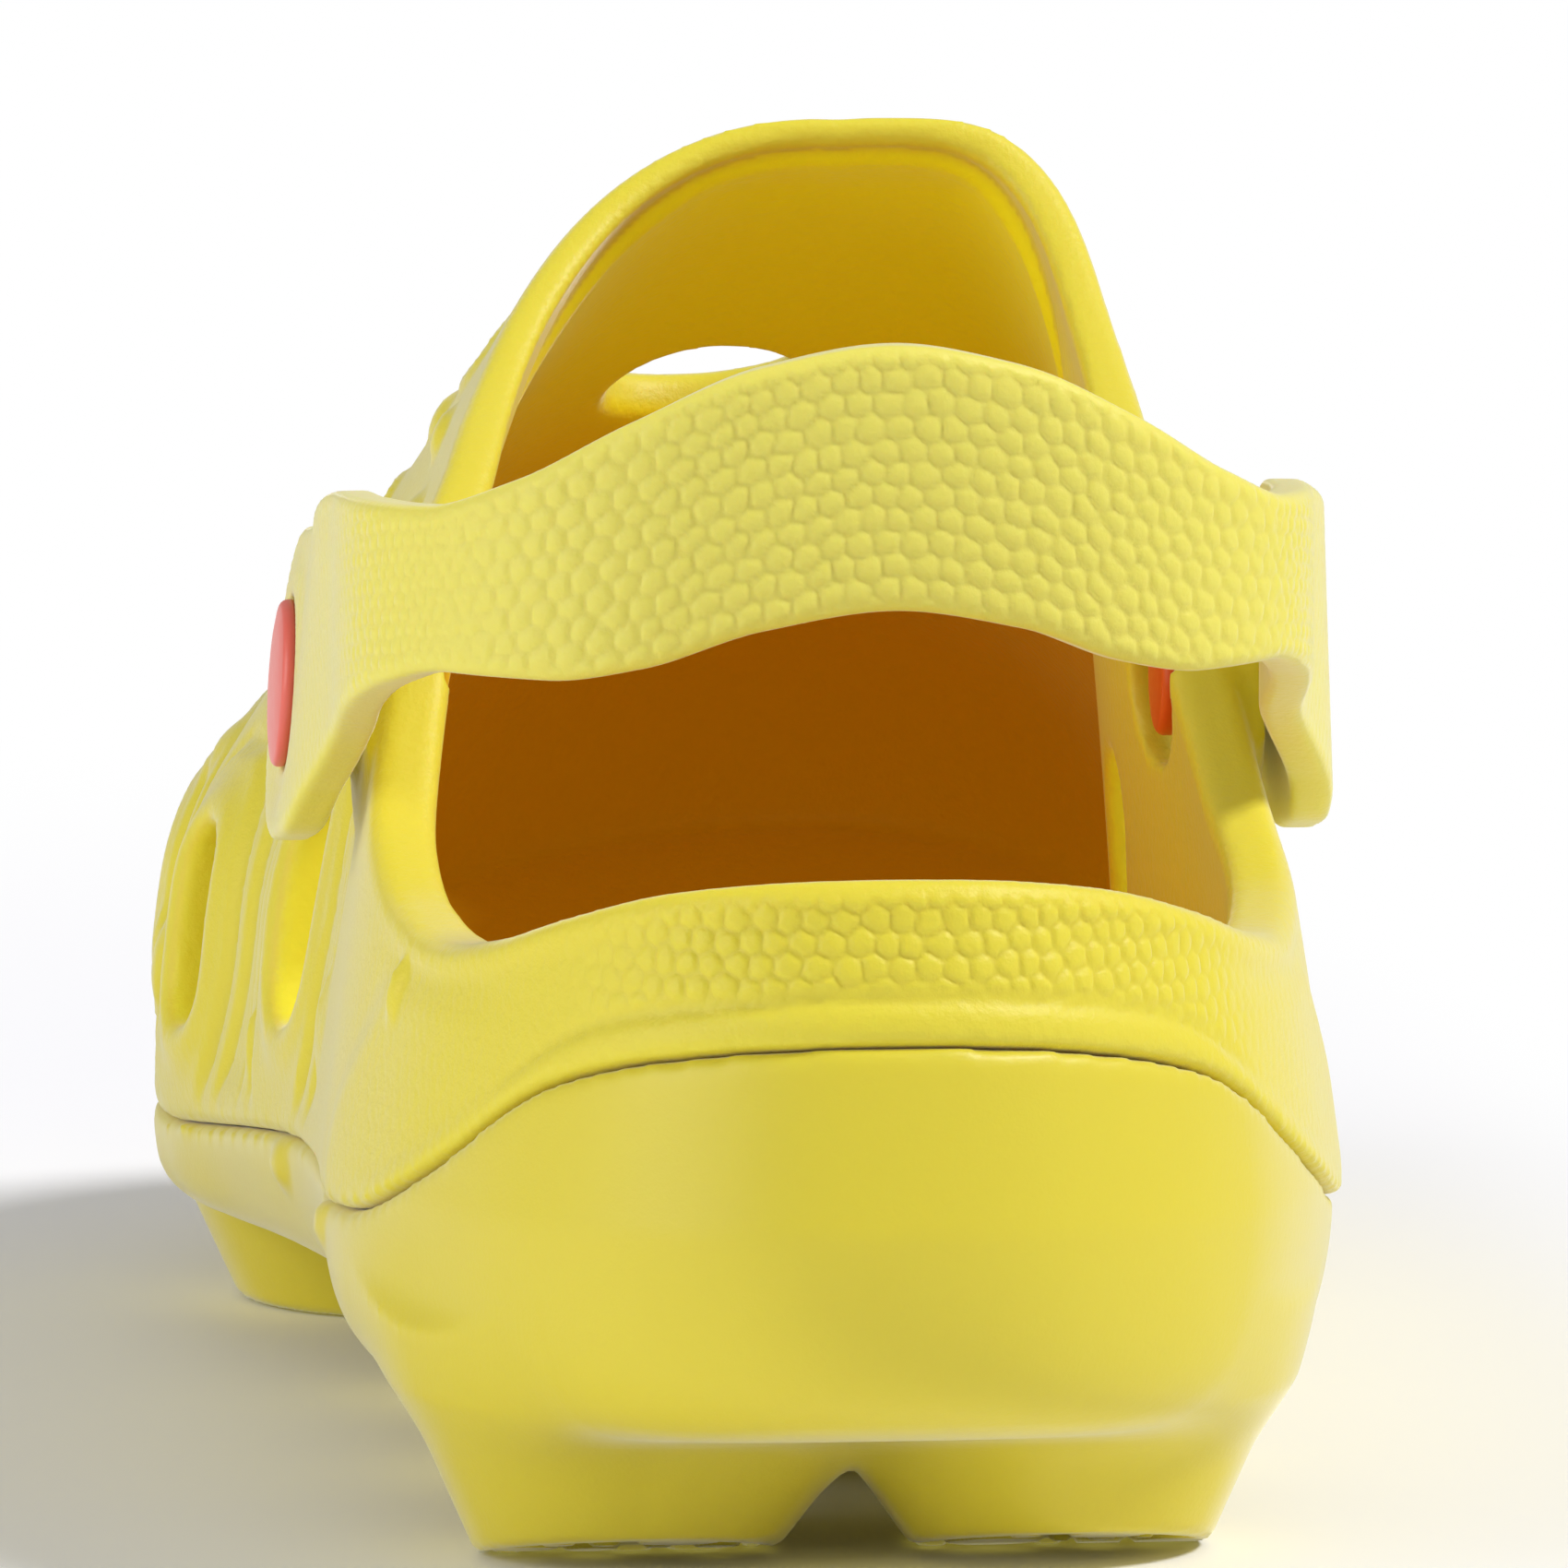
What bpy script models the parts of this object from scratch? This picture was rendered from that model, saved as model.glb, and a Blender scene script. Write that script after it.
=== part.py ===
"""Rubber garden clog, left foot, with a swivelling heel strap.

Moulded foam upper with its own footbed, moulded foam outsole with ten round
lugs, one-piece heel strap, and a two-part snap rivet on each side.

Working frame (millimetres): x towards the inner (medial) side of the foot,
y towards the toe, z up, with the ground at z = 0 and the middle of the heel
lugs' faces at y = 0. The root empty moves that frame so that the bottom
centre of the whole clog lies at the world origin, in metres.
"""
import math

import bmesh
import bpy
import numpy as np
from mathutils import Matrix, Vector

MM = 0.001             # metres per working unit
CLOG_CENTRE = (2.72, 99.25)   # x, y of the whole clog's bottom centre

# ---------------------------------------------------------- shape of the foot
# widest outline in plan, as (x, y) from heel to toe along each side
OUTLINE_INNER = [
    (11, -45.0), (23.5, -36.5), (33, -25), (40, -9.5), (44.8, 8), (47, 25),
    (45.8, 43), (42.8, 62), (41.2, 80), (43.2, 98), (48.5, 117), (54.5, 137),
    (59.3, 158), (61.4, 179), (60.8, 198), (56.5, 217), (47, 233.5), (33, 243)]
OUTLINE_OUTER = [
    (-14, -45.3), (-26, -37.3), (-35.5, -24), (-41.8, -7), (-46, 11), (-47.9, 30),
    (-47, 49), (-46.6, 68), (-47.4, 84), (-50, 102), (-52.6, 122), (-55.8, 142),
    (-55.6, 160), (-52.3, 179), (-46, 199), (-35.2, 217.5), (-19, 233.5), (0, 243)]
HEEL_POINT = (-2, -47.5)
TOE_POINT = (17, 246)
SIDE_STATIONS = 30     # stations along each side of the outline
SPLINE_STEPS = 24      # spline points per outline span

# heights along the clog, as (y, z)
WIDEST = [(-48, 36), (-20, 34), (20, 33), (60, 30), (100, 28), (150, 25.5), (185, 27.5),
          (220, 34), (246, 39)]
SOLE = [(-48, 19), (-32, 15), (-12, 13.4), (25, 13.2), (80, 12.6), (150, 12), (180, 14),
        (210, 20), (232, 27), (247, 33)]
SEAM = [(-48, 54), (-27, 48), (-8, 37.5), (14, 30.2), (40, 28.6), (68, 28.0), (88, 27.0),
        (106, 25.2), (126, 22.8), (148, 20.8), (168, 21.0), (192, 25.0), (225, 32.5), (247, 39)]
RIDGE = [(-48, 108), (0, 112), (58, 125), (85, 128.5), (100, 126.5), (110, 123.5),
         (120, 118.6), (135, 110), (150, 100.5), (168, 89.5), (186, 80.5), (206, 73),
         (226, 67), (247, 61)]
TOPLINE = [(-60, 69), (-44, 68.2), (-34, 66), (-24, 62.6), (-12, 59), (1, 57.2), (15, 58.8),
           (30, 63.6), (44, 72.8), (58, 86), (72, 94.8), (86, 102.5), (97, 111), (105, 120),
           (109, 129)]

# spine that the sections close on: its (y, x) course, its ends in y and their softness
SPINE_COURSE = [(-6, -1), (40, 0.5), (75, 6), (105, 9.5), (140, 6.5), (175, 5), (206, 9)]
SPINE_ENDS = (-5.0, 206.0)
SPINE_SOFTNESS = 9.0

# (y, power): how square the upper is over each side, and how full it is over the toe
FULL_OUTER = [(-48, 4), (0, 4), (45, 4.6), (60, 4.2), (75, 3.4), (90, 2.9), (115, 2.6),
              (150, 2.45), (200, 2.5), (247, 2.5)]
FULL_INNER = [(-48, 4), (0, 4), (30, 4.6), (60, 7.4), (78, 6.9), (95, 5.9), (112, 5.0),
              (130, 4.0), (150, 3.2), (200, 2.6), (247, 2.5)]
ROUND_OFF = [(-48, 1), (110, 1.02), (150, 1.35), (200, 1.6), (247, 1.7)]

# ring positions, as fractions of the way from the spine to the outline
REACH_BELOW = (0.40, 0.72, 0.84, 0.91, 0.96, 0.987)
REACH_ABOVE = (0.99, 0.965, 0.93, 0.88, 0.81, 0.71, 0.58, 0.43, 0.27, 0.11)

# underside shape of each body: (squareness, roundness) powers
CLOG_FLOOR = (15.0, 2.0)
CUP_FLOOR = (11.0, 1.7)
ROOM_FLOOR = (5.5, 1.5)

# ------------------------------------------------------ walls and clearances
GAP = 0.3              # clearance between neighbouring pieces
WALL = 6.8             # upper wall at its widest level
VAMP_THICKNESS = 4.4   # upper over the foot
FOOTBED_RISE = 9.0     # footbed above the underside of the outsole
OUTSOLE_WALL = 3.0     # outsole cup wall
OUTSOLE_FLOOR = 4.0    # outsole floor
BUCKET_DROP = 6.0      # ridge of the bucket body below that of the clog
HOLLOW_DROP = 5.5      # ridge of the cup hollow below that of the clog
BUCKET_OVERLAP = 2.5   # bucket reaches this far above the seam

# blocks that cut along a height curve: their extents and their stations in y
BLOCK_HALF_WIDTH = 90
BLOCK_TOP = 200
BLOCK_BOTTOM = -40
SEAM_STATIONS = np.concatenate([np.linspace(-56, 40, 17), np.linspace(55, 254, 12)])
OPENING_STATIONS = np.concatenate([np.linspace(-60, 60, 25), np.linspace(65, 116, 13)])

# ----------------------------------------------------------------------- lugs
# x, y, radius of the face, height of the face above the ground, toe-up tilt in degrees;
# the first two are the heel lugs
LUGS = [
    (17.9, 0.0, 14.2, 0.0, 0.0), (-22.2, 0.0, 14.0, 0.0, 0.0),
    (19.4, 49.3, 14.0, 0.0, 0.0), (-17.3, 50.7, 13.8, 0.0, 0.0),
    (17.8, 95.8, 13.7, 0.0, 0.0), (-19.6, 97.0, 13.7, 0.0, 0.0),
    (27.0, 148.1, 19.5, 0.0, 0.0), (-27.0, 163.5, 19.6, 0.0, 0.0),
    (32.8, 193.2, 15.6, 6.6, 14.0), (-12.6, 203.0, 14.2, 9.5, 14.0)]
HEEL_LUGS = 2
# how much wider a lug is at its root, and how far the root goes above the sole's underside
LUG_FLARE, LUG_BURIED = 3.0, 2.3
HEEL_LUG_FLARE, HEEL_LUG_BURIED = 7.5, 7.0
HEEL_FACE_TILT = 10.0   # rear half of a heel lug's face rises towards the back, degrees
HEEL_FACE_STEEPEN = 1.3   # multiplies the slope of that tilt
MOAT_LOW, MOAT_HIGH = 1.32, 1.12   # moat cutter's lower and upper radius over the lug's
MOAT_DEPTH = 1.5

# ------------------------------------------------------------ pivot and rivets
PIVOT_Y, PIVOT_Z = 58.0, 74.8
# side (sign of x), word for it, x of the ear face towards the foot, x of the boss's inner end
PIVOTS = [(-1, "lateral", -45.1, -37.4), (1, "medial", 44.9, 36.7)]
BOSS_R = 9.0
BOSS_EAR_GAP = 0.4     # boss stops this far short of the ear
PAD_LENGTH = 14        # length of boss kept clear when the foot room is cut
BORE_R = 2.75
SHANK_R = 2.4
HEAD_R, HEAD_PROUD = 8.0, 1.5
HEAD_DOME = 1.1        # height of the domed part of the head
RECESS_R, RECESS_DEPTH = 8.35, 1.4
CAP_R, CAP_THICK, CAP_SOCKET = 6.0, 2.2, 1.4
CAP_DOME = 0.6         # height of the domed part of the cap
CAP_SEAT_X = 22        # distance in x at which the seat cutter starts
# clearance of the seat round the cap, at the cutter's lower-x and higher-x ends
CAP_SEAT_CLEAR = (1.0, 3.0)

# ---------------------------------------------------------------------- strap
STRAP_THICK = 4.2
STRAP_BACK_Y = -20.0
# middle line of the band where the straight sides begin, outer then inner
STRAP_CORNER_X = (-45.4, 41.9)
STRAP_CORNER_Y = 22.0
STRAP_BEND_POWER = 2.4   # superellipse power of the bend round the heel
STRAP_SPLAY_END_Y = PIVOT_Y - 14   # from here on each side runs straight in line with its ear
STRAP_MIDDLE_X = 0.8
EAR_RADIUS = 15.0
BEVEL_ACROSS, BEVEL_HIGH = 0.9, 1.1   # bevel of the band's edges
# band edges, as (distance from the middle, z); the last distance is the ear's centre
STRAP_TOP = [(-12, 112), (0, 114), (12, 112), (24, 106.8), (35, 101.2), (46, 98), (60, 97.4),
             (72, 96.8), (86, 94.4), (98, 91.2), (107, 89.8)]
STRAP_LOW = [(-12, 87.8), (0, 89.6), (12, 87.8), (23, 84.2), (32, 82.8), (43, 82.8),
             (53, 80.8), (62, 78), (74, 73.4), (86, 67.2), (96, 61.6), (107, 59.8)]
BEND_POINTS = 241      # points of the middle line round the heel
STRAIGHT_POINTS = 59   # points of the middle line along each side

# ---------------------------------------------------------------------- vents
# side slots: side, y, z, half length, half height, lean in degrees (positive leans heelwards)
SLOTS = [
    (-1, 92.0, 51.5, 7.4, 15.0, -12.0), (-1, 134.0, 42.0, 6.2, 10.8, -3.0),
    (-1, 172.0, 43.0, 5.4, 7.8, 12.0),
    (1, 82.0, 52.0, 7.4, 14.0, 8.0), (1, 113.0, 52.0, 7.8, 14.0, 12.0),
    (1, 147.0, 47.0, 7.0, 11.5, 18.0), (1, 179.0, 44.0, 5.6, 8.0, 26.0)]
SLOT_X, SLOT_DEPTH = 46, 44
# top vents: x, y, half width, half length
VENTS = [
    (0.0, 156.5, 9.4, 6.8), (-26.0, 170.0, 5.0, 5.0), (24.0, 165.0, 6.0, 5.4),
    (4.0, 178.0, 6.2, 5.4), (-14.0, 193.0, 4.6, 4.6), (25.0, 192.0, 5.0, 4.8),
    (7.0, 207.0, 4.8, 4.4)]
VENT_RISE, VENT_DEPTH = 4, 70   # cutter's centre above the ridge, and its length
VENT_LEAN = -24        # degrees; the cutter's top leans towards the toe

# --------------------------------------------------------------- mesh fineness
ROUND_SEGMENTS = 28
BORE_SEGMENTS = 20
LUG_SEGMENTS = 26
VENT_SEGMENTS = 18
RIVET_STEPS = 26
SMOOTH_ANGLE = 40      # degrees

# --------------------------------------------------------------------- colours
LEMON = (0.70, 0.60, 0.10)
LEMON_DEEP = (0.66, 0.55, 0.07)
LEMON_STRAP = (0.72, 0.64, 0.17)
CORAL = (0.72, 0.12, 0.09)
RED_ORANGE = (0.75, 0.10, 0.02)


# ---------------------------------------------------------------------- curves
def curve_through(knots):
    """Monotone cubic through (position, value) knots, flat beyond both ends."""
    position, value = np.array(knots, float).T
    step = np.diff(position)
    slope = np.diff(value) / step
    tangent = np.zeros_like(value)
    for i in range(1, len(position) - 1):
        if slope[i - 1] * slope[i] > 0:
            before = 2 * step[i] + step[i - 1]
            after = step[i] + 2 * step[i - 1]
            tangent[i] = (before + after) / (before / slope[i - 1] + after / slope[i])
    tangent[0], tangent[-1] = slope[0], slope[-1]

    def value_at(x):
        x = np.clip(np.asarray(x, float), position[0], position[-1])
        i = np.clip(np.searchsorted(position, x, side="right") - 1, 0, len(step) - 1)
        t = (x - position[i]) / step[i]
        return ((1 + 2 * t) * (1 - t) ** 2 * value[i]
                + t * (1 - t) ** 2 * step[i] * tangent[i]
                + t * t * (3 - 2 * t) * value[i + 1]
                + t * t * (t - 1) * step[i] * tangent[i + 1])
    return value_at


def closed_spline(points, per_span):
    """Catmull-Rom spline through a closed loop of plan points."""
    points = np.array(points, float)
    count = len(points)
    t = np.linspace(0, 1, per_span, endpoint=False)[:, None]
    spans = []
    for i in range(count):
        a, b, c, d = (points[k % count] for k in (i - 1, i, i + 1, i + 2))
        spans.append(0.5 * (2 * b + (c - a) * t + (2 * a - 5 * b + 4 * c - d) * t ** 2
                            + (3 * b - a - 3 * c + d) * t ** 3))
    return np.concatenate(spans)


def run_along(line):
    """Length along an open plan line at each of its points."""
    return np.concatenate([[0], np.cumsum(np.hypot(*np.diff(line, axis=0).T))])


def point_at(line, run, where):
    """Plan point, or points, at the given length along a line."""
    return np.stack([np.interp(where, run, line[:, k]) for k in range(2)], axis=-1)


def by_length(line, count):
    """Points of an open line at equal steps of its length."""
    run = run_along(line)
    return point_at(line, run, np.linspace(0, run[-1], count))


widest, sole, seam, ridge, topline = (
    curve_through(knots) for knots in (WIDEST, SOLE, SEAM, RIDGE, TOPLINE))
full_outer, full_inner, round_off = (
    curve_through(knots) for knots in (FULL_OUTER, FULL_INNER, ROUND_OFF))
spine_x = curve_through(SPINE_COURSE)
strap_top, strap_low = curve_through(STRAP_TOP), curve_through(STRAP_LOW)


# ---------------------------------------------------------- foot-shaped bodies
def plan_outline(inset):
    """Closed loop of plan points, moved inwards by the inset.

    It runs from the heel point up the inner side and back down the outer side.
    """
    loop = [HEEL_POINT] + OUTLINE_INNER + [TOE_POINT] + OUTLINE_OUTER[::-1]
    fine = closed_spline(loop, SPLINE_STEPS)
    heel, toe = int(np.argmin(fine[:, 1])), int(np.argmax(fine[:, 1]))
    fine = np.roll(fine, -heel, axis=0)
    toe = (toe - heel) % len(fine)
    inner = by_length(fine[:toe + 1], SIDE_STATIONS + 1)
    outer = by_length(np.concatenate([fine[toe:], fine[:1]]), SIDE_STATIONS + 1)
    ring = np.concatenate([inner[:-1], outer[:-1]])
    along = np.roll(ring, -1, axis=0) - np.roll(ring, 1, axis=0)
    along /= np.hypot(along[:, 0], along[:, 1])[:, None]
    return ring + inset * np.stack([-along[:, 1], along[:, 0]], axis=1)


def spine_of(ring):
    """Point of the spine that each outline point closes on.

    The lines run straight across, fanning out at the heel and the toe.
    """
    start, end = SPINE_ENDS
    soft = SPINE_SOFTNESS
    y = ring[:, 1]
    y = start + soft * np.log1p(np.exp(np.clip((y - start) / soft, -40, 40)))
    y = end - soft * np.log1p(np.exp(np.clip((end - y) / soft, -40, 40)))
    return np.stack([spine_x(y), y], axis=1)


def body_rings(inset, drop, rise, floor):
    """Rings from the middle of a body's underside over the outline to its ridge."""
    squareness, roundness = floor
    ring = plan_outline(inset)
    spine = spine_of(ring)
    y = ring[:, 1]
    outer_side = np.arange(len(ring)) > SIDE_STATIONS
    fullness = np.where(outer_side, full_outer(y), full_inner(y))
    level = widest(y)
    rings = []
    for reach in REACH_BELOW:
        plan = spine + (ring - spine) * reach
        low = sole(plan[:, 1]) + rise
        z = level - (level - low) * (1 - reach ** squareness) ** (1 / roundness)
        rings.append(np.column_stack([plan, z]))
    rings.append(np.column_stack([ring, level]))
    for reach in REACH_ABOVE:
        plan = spine + (ring - spine) * reach
        peak = ridge(0.5 * (plan[:, 1] + spine[:, 1])) - drop
        z = level + (peak - level) * (1 - reach ** fullness) ** (1 / round_off(y))
        rings.append(np.column_stack([plan, z]))
    return rings


def foot_body(inset, drop, rise, floor):
    """Closed foot-shaped body: inset in plan, ridge dropped, underside raised."""
    rings = body_rings(inset, drop, rise, floor)
    count = len(rings[0])
    bm = bmesh.new()
    rows = [[bm.verts.new(Vector(v) * MM) for v in ring] for ring in rings]
    for low, high in zip(rows[:-1], rows[1:]):
        for i in range(count):
            j = (i + 1) % count
            bm.faces.new((low[i], low[j], high[j], high[i]))
    # both end rings are closed straight across
    for row, faces_up in ((rows[0], False), (rows[-1], True)):
        for i in range(count // 2):
            quad = [row[i], row[(i + 1) % count], row[(count - i - 1) % count],
                    row[(count - i) % count]]
            face = list(dict.fromkeys(quad))
            bm.faces.new(face if faces_up else face[::-1])
    return bm


def clog_body():
    """Outside of the whole clog, before it is split at the seam."""
    return foot_body(inset=0, drop=0, rise=0, floor=CLOG_FLOOR)


# ---------------------------------------------------------------- other solids
def profile_block(stations, height_of, far, offset=0.0):
    """Block across the whole width, between a height curve along y and the level far."""
    loop = [(y, float(height_of(y)) + offset) for y in stations]
    loop += [(stations[-1], far), (stations[0], far)]
    bm = bmesh.new()
    low_x, high_x = ([bm.verts.new(Vector((x, y, z)) * MM) for y, z in loop]
                     for x in (-BLOCK_HALF_WIDTH, BLOCK_HALF_WIDTH))
    bm.faces.new(low_x)
    bm.faces.new(high_x[::-1])
    for i in range(len(loop)):
        j = (i + 1) % len(loop)
        bm.faces.new((low_x[j], low_x[i], high_x[i], high_x[j]))
    bmesh.ops.recalc_face_normals(bm, faces=bm.faces[:])
    return bm


def placed(x, y, z, turn=0, axis='X'):
    """Placement at a point, turned by degrees about an axis."""
    return (Matrix.Translation(Vector((x, y, z)) * MM)
            @ Matrix.Rotation(math.radians(turn), 4, axis))


def round_bar(start_r, end_r, depth, segments, matrix):
    """Bar or cone centred on the placement, from its -z end to its +z end."""
    bm = bmesh.new()
    bmesh.ops.create_cone(bm, cap_ends=True, segments=segments, radius1=start_r * MM,
                          radius2=end_r * MM, depth=depth * MM, matrix=matrix)
    return bm


def pivot_bar(radius, x0, x1, segments, end_radius=None):
    """Bar on the pivot axis between two x; end_radius applies at its higher-x end."""
    if end_radius is None:
        end_radius = radius
    return round_bar(radius, end_radius, abs(x1 - x0), segments,
                     placed((x0 + x1) / 2, PIVOT_Y, PIVOT_Z, 90, 'Y'))


def stretch(bm, x=1, y=1, z=1):
    for v in bm.verts:
        v.co.x *= x
        v.co.y *= y
        v.co.z *= z


# --------------------------------------------------------- objects and booleans
def new_object(name, bm, collection):
    mesh = bpy.data.meshes.new(name)
    bm.to_mesh(mesh)
    bm.free()
    obj = bpy.data.objects.new(name, mesh)
    collection.objects.link(obj)
    return obj


def helper(name, bm):
    """Wire-drawn helper object, kept out of renders."""
    obj = new_object(name, bm, cutters)
    obj.hide_render = True
    obj.display_type = 'WIRE'
    return obj


def combine(obj, other, operation):
    """Boolean applied at once."""
    mod = obj.modifiers.new(operation.lower(), 'BOOLEAN')
    mod.operation = operation
    mod.object = other
    mod.solver = 'EXACT'
    bpy.context.view_layer.update()
    graph = bpy.context.evaluated_depsgraph_get()
    mesh = bpy.data.meshes.new_from_object(obj.evaluated_get(graph))
    obj.modifiers.clear()
    old = obj.data
    obj.data = mesh
    bpy.data.meshes.remove(old)
    mesh.name = obj.name


def cut(obj, name, bm):
    combine(obj, helper(name, bm), 'DIFFERENCE')


def join(obj, name, bm):
    combine(obj, helper(name, bm), 'UNION')


def tidy(obj):
    """Clear slivers left by the cuts and set the shading."""
    bm = bmesh.new()
    bm.from_mesh(obj.data)
    bmesh.ops.remove_doubles(bm, verts=bm.verts[:], dist=0.02 * MM)
    bmesh.ops.dissolve_degenerate(bm, edges=bm.edges[:], dist=0.01 * MM)
    bm.to_mesh(obj.data)
    bm.free()
    obj.data.shade_smooth()
    obj.data.set_sharp_from_angle(angle=math.radians(SMOOTH_ANGLE))


def plain_material(name, colour, roughness):
    mat = bpy.data.materials.new(name)
    mat.use_nodes = True
    shader = mat.node_tree.nodes["Principled BSDF"]
    shader.inputs["Base Color"].default_value = (*colour, 1)
    shader.inputs["Roughness"].default_value = roughness
    shader.inputs["Metallic"].default_value = 0.0
    mat.diffuse_color = (*colour, 1)
    return mat


def paint(obj, name, colour, roughness):
    obj.data.materials.clear()
    obj.data.materials.append(plain_material(name, colour, roughness))


# ----------------------------------------------------------------------- upper
def add_bucket(upper):
    """Lower part of the upper, which sits inside the outsole cup."""
    bucket = helper("bucket", foot_body(inset=OUTSOLE_WALL + GAP, drop=BUCKET_DROP,
                                        rise=OUTSOLE_FLOOR + GAP, floor=CUP_FLOOR))
    cut(bucket, "above_bucket",
        profile_block(SEAM_STATIONS, seam, BLOCK_TOP, BUCKET_OVERLAP))
    combine(upper, bucket, 'UNION')


def hollow_upper(upper):
    """Room for the foot; the inner ends of the pivot bosses stay proud of it."""
    room = helper("foot_room", foot_body(inset=WALL, drop=VAMP_THICKNESS,
                                         rise=FOOTBED_RISE, floor=ROOM_FLOOR))
    for side, _, _, pad_x in PIVOTS:
        cut(room, "pad", pivot_bar(BOSS_R, pad_x, pad_x + side * PAD_LENGTH, ROUND_SEGMENTS))
    combine(upper, room, 'DIFFERENCE')
    cut(upper, "opening", profile_block(OPENING_STATIONS, topline, BLOCK_TOP))


def cut_vents(upper):
    for n, (side, y, z, half_length, half_height, lean) in enumerate(SLOTS):
        bm = round_bar(1, 1, SLOT_DEPTH, VENT_SEGMENTS, placed(0, 0, 0, 90, 'Y'))
        stretch(bm, y=half_length, z=half_height)
        bm.transform(placed(side * SLOT_X, y, z, lean))
        cut(upper, f"slot_{n}", bm)
    for n, (x, y, half_width, half_length) in enumerate(VENTS):
        bm = round_bar(1, 1, VENT_DEPTH, VENT_SEGMENTS, Matrix.Identity(4))
        stretch(bm, x=half_width, y=half_length)
        bm.transform(placed(x, y, float(ridge(y)) + VENT_RISE, VENT_LEAN))
        cut(upper, f"vent_{n}", bm)


def build_upper():
    upper = new_object("upper_shell", clog_body(), parts)
    cut(upper, "below_seam", profile_block(SEAM_STATIONS, seam, BLOCK_BOTTOM, GAP / 2))
    add_bucket(upper)
    for side, _, ear_x, pad_x in PIVOTS:
        join(upper, "boss",
             pivot_bar(BOSS_R, pad_x, ear_x - side * BOSS_EAR_GAP, ROUND_SEGMENTS))
    hollow_upper(upper)
    cut_vents(upper)
    # a flat seat for each cap where the wall is thicker than the boss, and the bores
    seat_low_r, seat_high_r = (CAP_R + clear for clear in CAP_SEAT_CLEAR)
    for side, _, _, pad_x in PIVOTS:
        cut(upper, "cap_seat", pivot_bar(seat_low_r, side * CAP_SEAT_X, pad_x,
                                         ROUND_SEGMENTS, end_radius=seat_high_r))
        cut(upper, "bore", pivot_bar(BORE_R, side * 20, side * 60, BORE_SEGMENTS))
    tidy(upper)
    paint(upper, "upper_foam", LEMON, roughness=0.5)
    return upper


# --------------------------------------------------------------------- outsole
def lug_solid(x, y, radius, face_z, tilt, is_heel):
    flare = HEEL_LUG_FLARE if is_heel else LUG_FLARE
    buried = HEEL_LUG_BURIED if is_heel else LUG_BURIED
    height = float(sole(y)) + buried - face_z
    bm = round_bar(radius, radius + flare, height, LUG_SEGMENTS, placed(0, 0, height / 2))
    if is_heel:
        slope = math.tan(math.radians(HEEL_FACE_TILT))
        for v in bm.verts:
            if v.co.z < 1 * MM and v.co.y < 0:
                v.co.z += -v.co.y * slope * HEEL_FACE_STEEPEN
    bm.transform(placed(x, y, face_z, tilt))
    return bm


def build_outsole():
    outsole = new_object("outsole", clog_body(), parts)
    cut(outsole, "above_seam", profile_block(SEAM_STATIONS, seam, BLOCK_TOP, -GAP / 2))
    for n, (x, y, radius, _, tilt) in enumerate(LUGS):
        cut(outsole, f"moat_{n}",
            round_bar(MOAT_LOW * radius, MOAT_HIGH * radius, 2 * MOAT_DEPTH, ROUND_SEGMENTS,
                      placed(x, y, float(sole(y)), tilt)))
    for n, lug in enumerate(LUGS):
        join(outsole, f"lug_{n}", lug_solid(*lug, is_heel=n < HEEL_LUGS))
    cut(outsole, "cup_hollow", foot_body(inset=OUTSOLE_WALL, drop=HOLLOW_DROP,
                                         rise=OUTSOLE_FLOOR, floor=CUP_FLOOR))
    tidy(outsole)
    paint(outsole, "outsole_foam", LEMON_DEEP, roughness=0.45)
    return outsole


# ------------------------------------------------------------------ heel strap
def strap_line():
    """Middle line of the band in plan, from the outer ear round the heel to the inner ear."""
    ear_x = [face + side * STRAP_THICK / 2 for side, _, face, _ in PIVOTS]
    across = 0.5 * (STRAP_CORNER_X[0] + STRAP_CORNER_X[1])
    half = 0.5 * (STRAP_CORNER_X[1] - STRAP_CORNER_X[0])
    reach = STRAP_CORNER_Y - (STRAP_BACK_Y + STRAP_THICK / 2)
    turn = np.linspace(-math.pi / 2, math.pi / 2, BEND_POINTS)
    power = 2 / STRAP_BEND_POWER
    x = across + half * np.sign(np.sin(turn)) * np.abs(np.sin(turn)) ** power
    y = STRAP_CORNER_Y - reach * np.abs(np.cos(turn)) ** power
    side_y = np.linspace(STRAP_CORNER_Y, PIVOT_Y + EAR_RADIUS, STRAIGHT_POINTS + 1)[1:]
    ease = np.clip((side_y - STRAP_CORNER_Y) / (STRAP_SPLAY_END_Y - STRAP_CORNER_Y), 0, 1)
    ease = ease * ease * (3 - 2 * ease)
    outer = np.stack([across - half + (ear_x[0] - across + half) * ease, side_y], axis=1)
    inner = np.stack([across + half + (ear_x[1] - across - half) * ease, side_y], axis=1)
    return np.concatenate([outer[::-1], np.stack([x, y], axis=1), inner])


def strap_stations(middle, length):
    """(signed distance, distance, distance of the ear's centre) from the band's middle."""
    halves = []
    for side, half_length in ((-1, middle), (1, length - middle)):
        ear = half_length - EAR_RADIUS
        # the last ear station stops a little short of its tip
        angles = np.linspace(0, math.pi / 2, 9)[1:] * 0.985
        distances = np.concatenate([np.linspace(0, ear, 30), ear + EAR_RADIUS * np.sin(angles)])
        halves.append([(side * d, d, ear) for d in distances])
    return halves[0][::-1] + halves[1][1:]


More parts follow.
